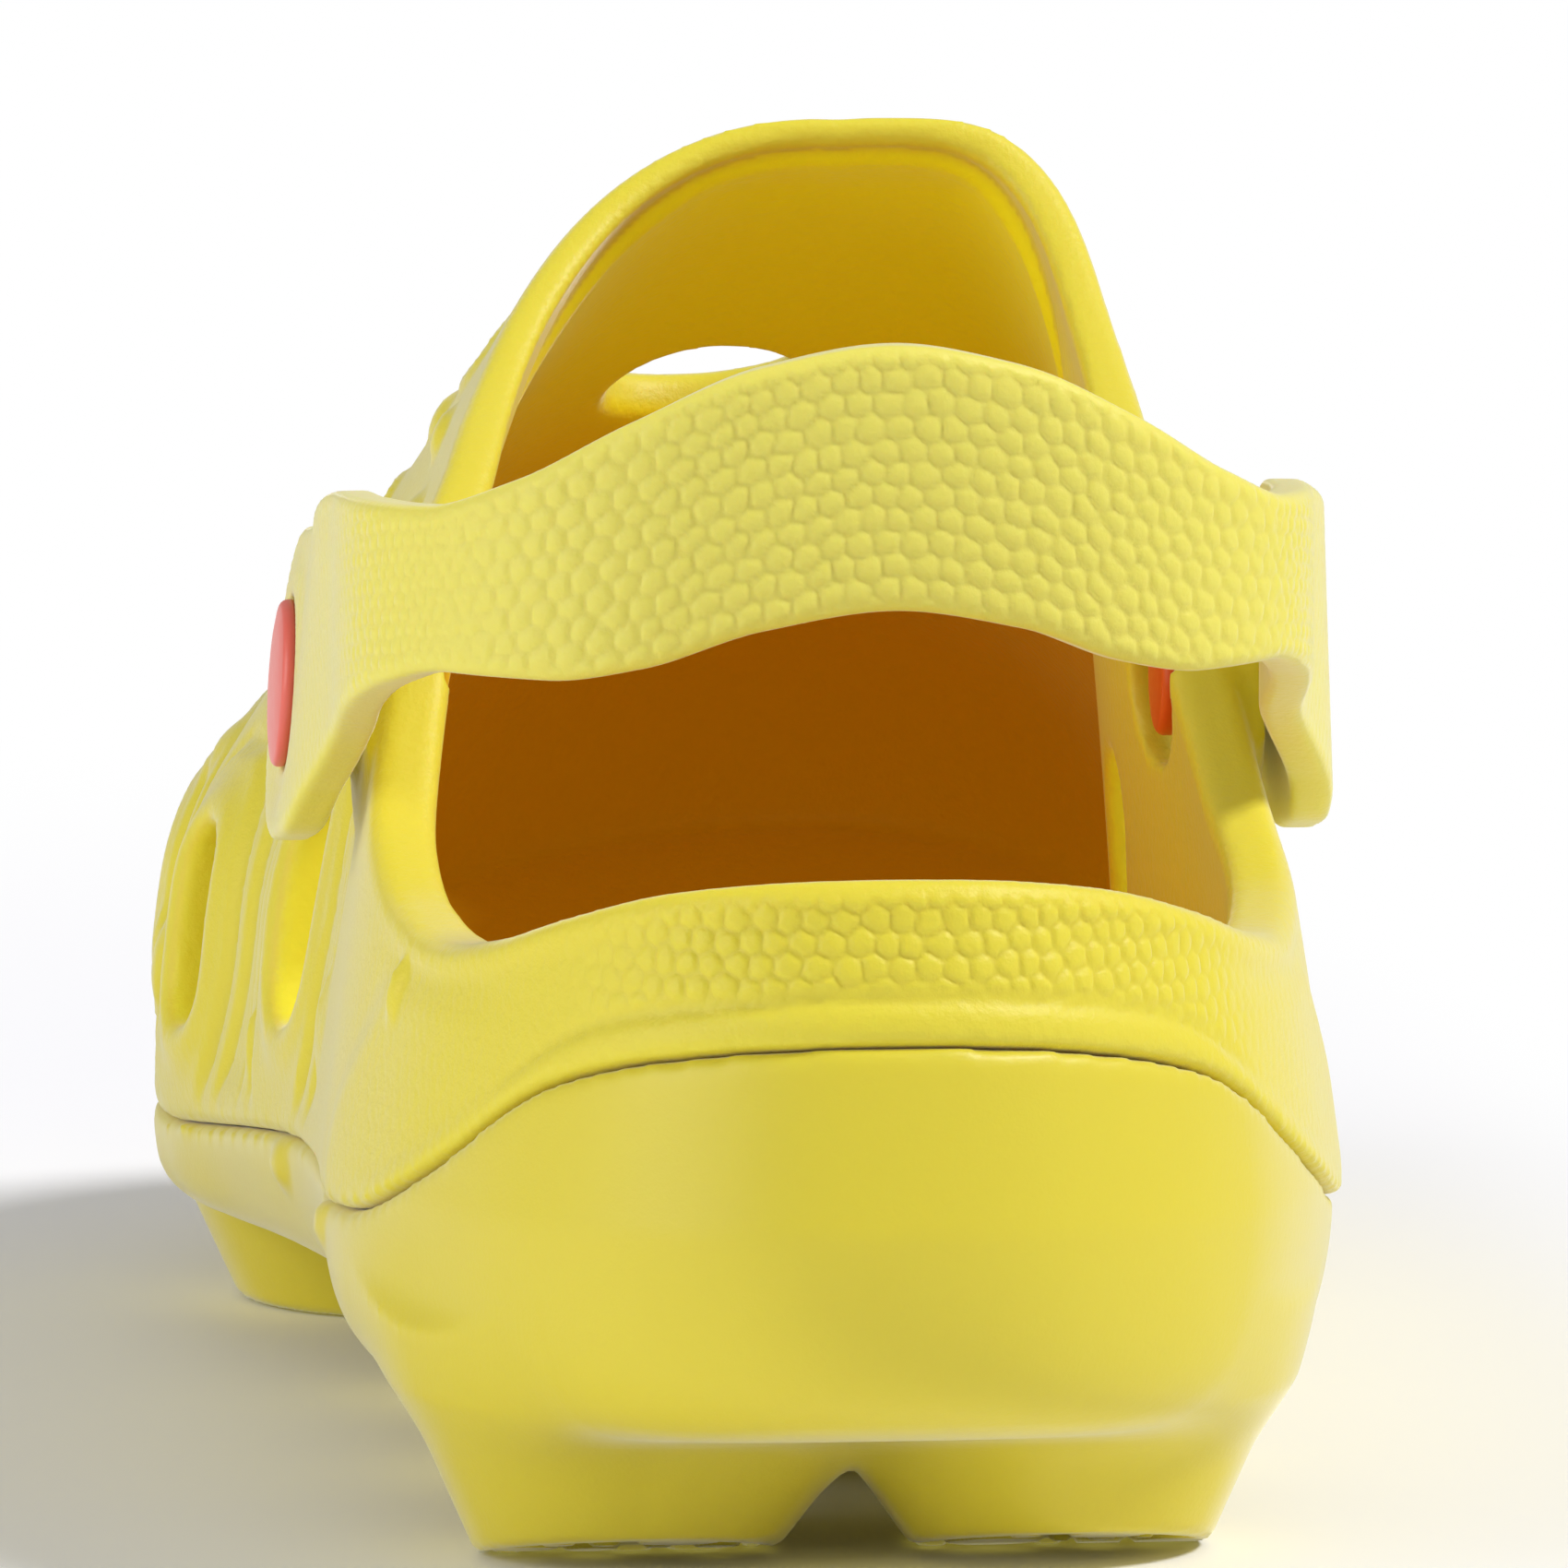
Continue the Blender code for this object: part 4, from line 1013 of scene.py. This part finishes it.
def strap_at(s, reach):
    """Middle line at distances s along it: x, y, and its change within reach either way."""
    lx, ly = (np.interp(s, run, line[:, k]) for k in (0, 1))
    dx, dy = (np.interp(s + reach, run, line[:, k]) - np.interp(s - reach, run, line[:, k])
              for k in (0, 1))
    return lx, ly, dx, dy


def strap_edges(s):
    """Top and bottom height of the band at distances s along its middle line."""
    total = np.where(s < middle, middle, run[-1] - middle)
    scale = STRAP_TOP[-1][0] / (total - EAR_RADIUS)
    return strap_top(abs(s - middle) * scale), strap_low(abs(s - middle) * scale)


def strap_section():
    """Rounded rectangle: (distance outwards, 1 at the top or -1 at the bottom, height)."""
    corner = np.linspace(0, math.pi / 2, 7)
    flat = STRAP_THICK / 2 - STRAP_EDGE_R
    section = []
    for quarter, (sx, sz) in enumerate(((1, 1), (-1, 1), (-1, -1), (1, -1))):
        for a in corner + quarter * math.pi / 2:
            section.append((sx * flat + STRAP_EDGE_R * math.cos(a), sz,
                            STRAP_EDGE_R * math.sin(a)))
    return np.array(section).T


def strap_sweep():
    """Vertices, quads and triangles of the band between the ears."""
    stations = np.linspace(EAR_RADIUS - 0.6, run[-1] - EAR_RADIUS + 0.6, 520)
    cx, cy, tx, ty = strap_at(stations, 0.6)
    for _ in range(12):
        tx, ty = (np.convolve(np.pad(t, 1, mode="edge"), (0.25, 0.5, 0.25), mode="valid")
                  for t in (tx, ty))
    tl = np.hypot(tx, ty)
    ox, oy = ty / tl, -tx / tl
    top, low = strap_edges(stations)
    across, upper_half, dz = strap_section()
    z = np.where(upper_half > 0, top[:, None] - STRAP_EDGE_R, low[:, None] + STRAP_EDGE_R) + dz
    rings = np.stack([cx[:, None] + ox[:, None] * across,
                      cy[:, None] + oy[:, None] * across, z], axis=2)
    count, n = rings.shape[:2]
    quads = ring_quads(count, n)
    tris = []
    for base, flip in ((0, True), ((count - 1) * n, False)):
        for a in range(1, n - 1):
            tri = [base, base + a, base + a + 1]
            tris.append(tri[::-1] if flip else tri)
    verts = rings.reshape(-1, 3)
    p = verts[quads]
    if np.einsum("ij,ij->i", p[:, 0], np.cross(p[:, 1], p[:, 2])).sum() < 0:
        quads, tris = quads[:, ::-1], [tri[::-1] for tri in tris]
    return verts, quads, np.array(tris)


def strap_surface():
    """Band with its ears, their button recesses and bores."""
    grid = Grid((-54, -24, 55), (54, 78, 118), STEP_STRAP)
    strap = grid.of_mesh(*strap_sweep(), band=6)
    rad = np.hypot(grid.y - PIVOT_Y, grid.z - PIVOT_Z)
    for side in (-1, 1):
        face_in, face_out = EAR_FACE[side], EAR_FACE[side] + STRAP_THICK
        out = side * grid.x
        ear = round_max(rad - EAR_RADIUS,
                        abs(out - (face_in + face_out) / 2) - STRAP_THICK / 2, STRAP_EDGE_R)
        strap = np.minimum(strap, np.where(out > 0, ear, 60))
        recess = np.maximum(rad - RECESS_R, (face_out - RECESS_DEPTH) - out)
        strap = np.where(out > 20, round_max(strap, -recess, 0.35), strap)
        strap = np.where(out > 20, round_max(strap, BORE_R - rad, 0.25), strap)
    return grid.surface(strap.astype(F))


def lean_ears(co):
    """Ears and button heads follow the upper's sides: out at the bottom, in at the top."""
    leaned = co.copy()
    away = rise(8.8, 13.5, np.hypot(co[:, 1] - PIVOT_Y, co[:, 2] - PIVOT_Z))
    for side in (-1, 1):
        share = rise(28.0, 50, co[:, 1]) * rise(EAR_FACE[side] - 4, EAR_FACE[side] - 1,
                                                side * co[:, 0])
        lean = SEAT_LEAN[side] * (1 - away) + EAR_LEAN[side] * away
        leaned[:, 0] += side * share * lean * (PIVOT_Z - co[:, 2])
    return leaned


def nearest_run(co):
    """Distance along the band of the line point nearest to each point, in batches."""
    batch = 20000
    s = np.zeros(len(co))
    for a in range(0, len(co), batch):
        part = co[a:a + batch, None]
        d = (part[..., 0] - line[None, :, 0]) ** 2 + (part[..., 1] - line[None, :, 1]) ** 2
        s[a:a + batch] = run[np.argmin(d, axis=1)]
    return s


def build_strap():
    obj = make_mesh("heel_strap_foam", *strap_surface())
    co, no = coordinates(obj), normals(obj)
    s = nearest_run(co)
    lx, ly, dx, dy = strap_at(s, 0.5)
    dl = np.hypot(dx, dy)
    # position along the band between the samples
    s = s + ((co[:, 0] - lx) * dx + (co[:, 1] - ly) * dy) / dl
    outward = (no[:, 0] * dy - no[:, 1] * dx) / dl
    top, low = strap_edges(s)
    rad = np.hypot(co[:, 1] - PIVOT_Y, co[:, 2] - PIVOT_Z)
    face = (rise(0.25, 0.85, outward) * rise(0.5, 1.3, top - co[:, 2])
            * rise(0.5, 1.3, co[:, 2] - low))
    from_middle = abs(s - middle)
    strength = 1 - 0.80 * rise(34, 74, from_middle)
    strength = strength * rise(RECESS_R + 0.4, RECESS_R + 1.8, rad)
    # coarse pebbles round the heel give way to finer ones on the sides
    across = co[:, 2] - 0.5 * (top + low) + 300
    finer = rise(30, 52, from_middle)
    relief = (pebbles(s + 400, across, 2.45, seed=3) * (1 - finer)
              + pebbles(s + 400, across, 1.6, seed=9) * finer)
    push(obj, face * 0.33 * strength * relief)
    paint(obj, "pebbled", face * strength)
    set_coordinates(obj, lean_ears(coordinates(obj)))
    return obj


# --------------------------------------------------------------------- rivets
def lathe(name, profile, start, side, segments=96):
    """Solid about the pivot axis; the profile is (radius, distance outwards from start)."""
    verts, faces, rows = [], [], []
    for r, d in profile:
        first = len(verts)
        x = side * (start + d)
        if r < 1e-6:
            verts.append((x, PIVOT_Y, PIVOT_Z))
        else:
            for t in np.linspace(0, 2 * math.pi, segments, endpoint=False):
                verts.append((x, PIVOT_Y + r * math.cos(t), PIVOT_Z + r * math.sin(t)))
        rows.append(list(range(first, len(verts))))
    for p, q in zip(rows[:-1], rows[1:]):
        for i in range(segments):
            j = (i + 1) % segments
            if len(p) == 1:
                face = (p[0], q[j], q[i])
            elif len(q) == 1:
                face = (p[i], p[j], q[0])
            else:
                face = (p[i], p[j], q[j], q[i])
            faces.append(face if side > 0 else face[::-1])
    mesh = bpy.data.meshes.new(name)
    leaned = lean_ears(np.array(verts, float))
    mesh.from_pydata([tuple(v) for v in to_row(leaned)], [], faces)
    bm = bmesh.new()
    bm.from_mesh(mesh)
    bmesh.ops.recalc_face_normals(bm, faces=bm.faces[:])
    bm.to_mesh(mesh)
    bm.free()
    mesh.shade_smooth()
    mesh.set_sharp_from_angle(angle=math.radians(50))
    return in_scene(name, mesh)


def fillet(corner, before, after, r, count=6):
    """Arc that rounds one corner of a profile."""
    c, b, a = (np.array(v, float) for v in (corner, before, after))
    u, w = (b - c) / np.hypot(*(b - c)), (a - c) / np.hypot(*(a - c))
    half = math.acos(np.clip(np.dot(u, w), -1, 1)) / 2
    t = r / math.tan(half)
    m = c + (u + w) / np.hypot(*(u + w)) * (r / math.sin(half))
    p, q = c + u * t - m, c + w * t - m
    out = []
    for k in np.linspace(0, 1, count):
        v = p * (1 - k) + q * k
        out.append(tuple(m + v / np.hypot(*v) * r))
    return out


def build_rivet(side, word):
    """Button with its shank in the ear, and the cap over the shank's end."""
    seat = EAR_FACE[side] + STRAP_THICK - (RECESS_DEPTH - SEAT_GAP)
    crown = HEAD_PROUD + RECESS_DEPTH - SEAT_GAP
    cap_face = PAD_FACE[side] - 0.3
    reach = seat - cap_face + CAP_SOCKET - 0.3
    edge = (6.0, crown - 0.24)
    button = [(0, crown), (2.5, crown - 0.03), (4.6, crown - 0.12), edge]
    button += fillet((HEAD_R, crown - 0.55), edge, (HEAD_R, 0), 0.75)
    button += fillet((HEAD_R, 0), (HEAD_R, crown), (SHANK_R, 0), 0.25, 3)
    button += [(SHANK_R + 0.35, 0), (SHANK_R, -0.35), (SHANK_R, -reach + 0.5),
               (SHANK_R - 0.5, -reach), (0, -reach)]
    socket_r = SHANK_R + GAP
    cap = [(0, -CAP_SOCKET), (socket_r, -CAP_SOCKET), (socket_r, -0.2), (socket_r + 0.2, 0)]
    cap += fillet((CAP_R, 0), (SHANK_R, 0), (CAP_R, -CAP_THICK), 0.25, 4)
    cap += fillet((CAP_R, -CAP_THICK + 0.1), (CAP_R, 0), (3.0, -CAP_THICK), 0.85, 8)
    cap += [(3.0, -CAP_THICK), (0, -CAP_THICK)]
    return (lathe("rivet_button_%s_plastic" % word, button, seat, side),
            lathe("rivet_cap_%s_plastic" % word, cap, cap_face, side))


# ------------------------------------------------------------------ materials
def feed(tree, to, inputs):
    """Set the inputs of a node, or link them where the value is another node's output."""
    for key, value in inputs.items():
        if isinstance(value, bpy.types.NodeSocket):
            tree.links.new(value, to.inputs[key])
        else:
            to.inputs[key].default_value = value


def node(tree, kind, inputs, **settings):
    made = tree.nodes.new("ShaderNode" + kind)
    for key, value in settings.items():
        setattr(made, key, value)
    feed(tree, made, inputs)
    return made


def remap(tree, value, span_in=(0.0, 1.0), span_out=(0.0, 1.0), **settings):
    inputs = dict(enumerate((value, *span_in, *span_out)))
    return node(tree, "MapRange", inputs, **settings).outputs[0]


def mix_colours(tree, share, first, second, **settings):
    """Colour mix; sockets 0, 6, 7 and output 2 are the colour ones of the mix node."""
    inputs = {0: share, 6: first, 7: second}
    return node(tree, "Mix", inputs, data_type="RGBA", **settings).outputs[2]


def calculate(tree, operation, *values, **settings):
    inputs = dict(enumerate(values))
    return node(tree, "Math", inputs, operation=operation, **settings).outputs[0]


def attribute(tree, name):
    return node(tree, "Attribute", {}, attribute_name=name).outputs["Fac"]


def noise(tree, scale, detail, roughness):
    place = node(tree, "TexCoord", {}).outputs["Object"]
    return node(tree, "TexNoise", {"Vector": place, "Scale": scale, "Detail": detail,
                                   "Roughness": roughness}).outputs[0]


def new_material(name, base=None):
    """Material with nodes, its tree and its main shader."""
    mat = bpy.data.materials.new(name)
    mat.use_nodes = True
    if base:
        mat.diffuse_color = (*base, 1)
    return mat, mat.node_tree, mat.node_tree.nodes["Principled BSDF"]


def bump(tree, height, strength, distance):
    return node(tree, "Bump", {"Height": height, "Strength": strength,
                               "Distance": distance}).outputs[0]


def foam_colour(tree, clouds, base, deep, inside):
    """Cloudy colour, with painted shade darker in creases and a painted sheen, paler, where it
    is seen at a low angle.
    """
    share = remap(tree, clouds, (0.35, 0.75), (0.0, 0.55))
    colour = mix_colours(tree, share, (*base, 1), (*deep, 1))
    # painted shade: the colour is multiplied darker in creases, found from the mesh's
    # pointiness
    pointiness = node(tree, "NewGeometry", {}).outputs["Pointiness"]
    painted_crease_shade = remap(tree, pointiness, (0.42, 0.50), (0.90, 1.0))
    colour = mix_colours(tree, 1.0, colour, painted_crease_shade, blend_type="MULTIPLY")
    # painted sheen: the colour mixes toward a pale cream where the surface is seen at a low
    # angle
    facing = node(tree, "LayerWeight", {"Blend": 0.5}).outputs["Facing"]
    share = remap(tree, facing, (0.60, 0.96), (0.0, 0.52))
    # on foam whose foot room walls get the painted glow, the painted sheen is kept off those
    # walls
    if inside:
        skin_only = calculate(tree, "SUBTRACT", 1.0, attribute(tree, "lining"),
                              use_clamp=True)
        share = calculate(tree, "MULTIPLY", share, skin_only)
    return mix_colours(tree, share, colour, (0.79, 0.725, 0.40, 1))


def painted_inner_glow(tree, shader, colour):
    """Painted glow: the walls of the foot room emit a warm colour and are tinted warm, more
    orange and dimmer deeper down, standing in for light passing through the foam and bouncing
    inside.
    """
    where, depth = attribute(tree, "inside"), attribute(tree, "deep")
    warm = mix_colours(tree, depth, (0.81, 0.73, 0.008, 1), (0.79, 0.45, 0.003, 1))
    dim = remap(tree, depth, span_out=(0.12, 0.055))
    feed(tree, shader, {"Emission Color": warm,
                        "Emission Strength": calculate(tree, "MULTIPLY", where, dim)})
    # painted glow and painted warm bounce: the base colour turns to the warm colour on those
    # walls
    return mix_colours(tree, where, colour, warm)


def foam(name, base, deep, roughness, grain, grain_scale, inside=False):
    """Moulded foam: warm translucent colour, satin skin with very fine grain."""
    mat, tree, shader = new_material(name, base)
    clouds = noise(tree, scale=22.0, detail=3.0, roughness=0.5)
    colour = foam_colour(tree, clouds, base, deep, inside)
    # painted glow on the walls of the foot room
    if inside:
        colour = painted_inner_glow(tree, shader, colour)
    fine = noise(tree, scale=grain_scale, detail=4.0, roughness=0.6)
    feed(tree, shader, {
        "Base Color": colour,
        "Roughness": remap(tree, clouds, span_out=(roughness - 0.05, roughness + 0.07)),
        "Specular IOR Level": 0.42,
        "Sheen Weight": 0.38,
        "Sheen Roughness": 0.30,
        "Subsurface Weight": 0.30,
        "Subsurface Radius": (1.0, 0.72, 0.12),
        "Subsurface Scale": 0.004,
        "Normal": bump(tree, fine, strength=grain, distance=0.0004)})
    return mat


def plastic(name, base, roughness):
    mat, tree, shader = new_material(name, base)
    fine = noise(tree, scale=700.0, detail=3.0, roughness=0.5)
    feed(tree, shader, {
        "Base Color": (*base, 1),
        "Roughness": remap(tree, fine, span_out=(roughness - 0.04, roughness + 0.06)),
        "Subsurface Weight": 0.15,
        "Subsurface Radius": (1.0, 0.3, 0.2),
        "Subsurface Scale": 0.0015,
        "Normal": bump(tree, fine, strength=0.12, distance=0.0002)})
    return mat


def floor_material():
    """Pale floor that clears to plain white away from the clog."""
    mat, tree, shader = new_material("pale_floor")
    feed(tree, shader, {"Base Color": (0.93, 0.93, 0.975, 1), "Roughness": 0.6,
                        "Specular IOR Level": 0.15})
    # the lit side (+x) clears to white sooner than the shadow side
    place = node(tree, "TexCoord", {}).outputs["Object"]
    parts = node(tree, "SeparateXYZ", {0: place}).outputs
    furthest = calculate(tree, "MAXIMUM", remap(tree, parts[0], (0.045, 0.245), (0.0, 1.4)),
                         calculate(tree, "ABSOLUTE", parts[0]))
    away = node(tree, "CombineXYZ", {0: furthest, 1: parts[1]}).outputs[0]
    length = node(tree, "VectorMath", {0: away}, operation="LENGTH").outputs["Value"]
    spread = remap(tree, length, (0.19, 0.55), interpolation_type="SMOOTHSTEP")
    white = node(tree, "Emission", {"Strength": 1.0}).outputs[0]
    blend = node(tree, "MixShader", {0: spread, 1: shader.outputs[0], 2: white}).outputs[0]
    # nothing of it shows from below, and light reaches the faces that stand on it
    from_below = node(tree, "NewGeometry", {}).outputs["Backfacing"]
    hop = node(tree, "LightPath", {}).outputs["Ray Length"]
    clear = calculate(tree, "MAXIMUM", from_below, calculate(tree, "LESS_THAN", hop, 0.0012))
    nothing = node(tree, "BsdfTransparent", {}).outputs[0]
    surface = node(tree, "MixShader", {0: clear, 1: blend, 2: nothing}).outputs[0]
    feed(tree, tree.nodes["Material Output"], {"Surface": surface})
    return mat


# ------------------------------------------------------- onto the CAD's bodies
upper_obj = build_upper()
outsole_obj = build_outsole()
strap_obj = build_strap()
rivets = {word: build_rivet(side, word) for side, word in ((-1, "lateral"), (1, "medial"))}

upper_mat = foam("foam_upper", base=(0.745, 0.640, 0.044), deep=(0.710, 0.595, 0.034),
                 roughness=0.50, grain=0.36, grain_scale=950.0, inside=True)
sole_mat = foam("foam_outsole", base=(0.705, 0.596, 0.040), deep=(0.670, 0.560, 0.033),
                roughness=0.42, grain=0.10, grain_scale=1700.0)
strap_mat = foam("foam_strap", base=(0.775, 0.700, 0.120), deep=(0.745, 0.665, 0.100),
                 roughness=0.52, grain=0.28, grain_scale=1100.0)
button_mat = plastic("coral_plastic", base=(0.760, 0.140, 0.105), roughness=0.36)
cap_mat = plastic("orange_plastic", base=(0.760, 0.105, 0.020), roughness=0.34)

# object, material, body it rides on, CAD piece it replaces, slot
parts = [(upper_obj, upper_mat, "clog", "upper_shell", "upper_foam"),
         (outsole_obj, sole_mat, "clog", "outsole", "outsole_foam"),
         (strap_obj, strap_mat, "strap", "heel_strap", "strap_foam")]
for which, (kind, mat) in enumerate((("rivet_button", button_mat), ("rivet_cap", cap_mat))):
    for word, pair in rivets.items():
        parts.append((pair[which], mat, "clog", kind + "_" + word, kind))
for obj, mat, rides_on, piece, slot_name in parts:
    obj.data.materials.append(mat)
    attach(obj, rides_on)
    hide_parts(piece)

# ------------------------------------------------ floor, light, camera (metres)
FLOOR_HALF = 6
floor_mesh = bpy.data.meshes.new("floor")
floor_mesh.from_pydata([(x * FLOOR_HALF, y * FLOOR_HALF, 0)
                        for x, y in ((-1, -1), (1, -1), (1, 1), (-1, 1))],
                       [], [(0, 1, 2, 3)])
floor = in_scene("floor", floor_mesh)
floor.location.z = -0.0002
floor_mesh.materials.append(floor_material())

# the world lights the clog more softly than the backdrop looks
world = bpy.data.worlds.new("studio")
world.use_nodes = True
camera_ray = node(world.node_tree, "LightPath", {}).outputs["Is Camera Ray"]
feed(world.node_tree, world.node_tree.nodes["Background"], {
    "Color": (1.0, 1.0, 1.0, 1),
    "Strength": remap(world.node_tree, camera_ray, span_out=(0.36, 1.0))})
bpy.context.scene.world = world


def aimed(name, data, location, direction):
    """Light or camera that looks along a direction."""
    obj = in_scene(name, data)
    obj.location = location
    obj.rotation_mode = "QUATERNION"
    obj.rotation_quaternion = direction.to_track_quat("-Z", "Y")
    return obj


key = bpy.data.lights.new("key", "SUN")
key.energy = 2.6
key.angle = math.radians(14)
key.color = (1.0, 0.99, 0.965)
aimed("key", key, (1.2, -0.4, 1.5), -Vector((1.25, -0.35, 1.42)))

fill = bpy.data.lights.new("left_fill", "AREA")
fill.shape = "RECTANGLE"
fill.size, fill.size_y = 1.1, 0.9
fill.energy = 11.0
fill_place = Vector((-1.40, -0.55, 0.55))
aimed("left_fill", fill, fill_place, Vector((0, 0, 0.05)) - fill_place)

camera_place = Vector((-0.1712, -1.6701, 0.262))
camera_target = Vector((0.0, 0.0, 0.0595))
camera_data = bpy.data.cameras.new("camera")
camera_data.sensor_width = 36.0
camera_data.lens = 395.0
scene = bpy.context.scene
scene.camera = aimed("camera", camera_data, camera_place, camera_target - camera_place)
scene.view_settings.view_transform = "Standard"

bpy.context.view_layer.update()
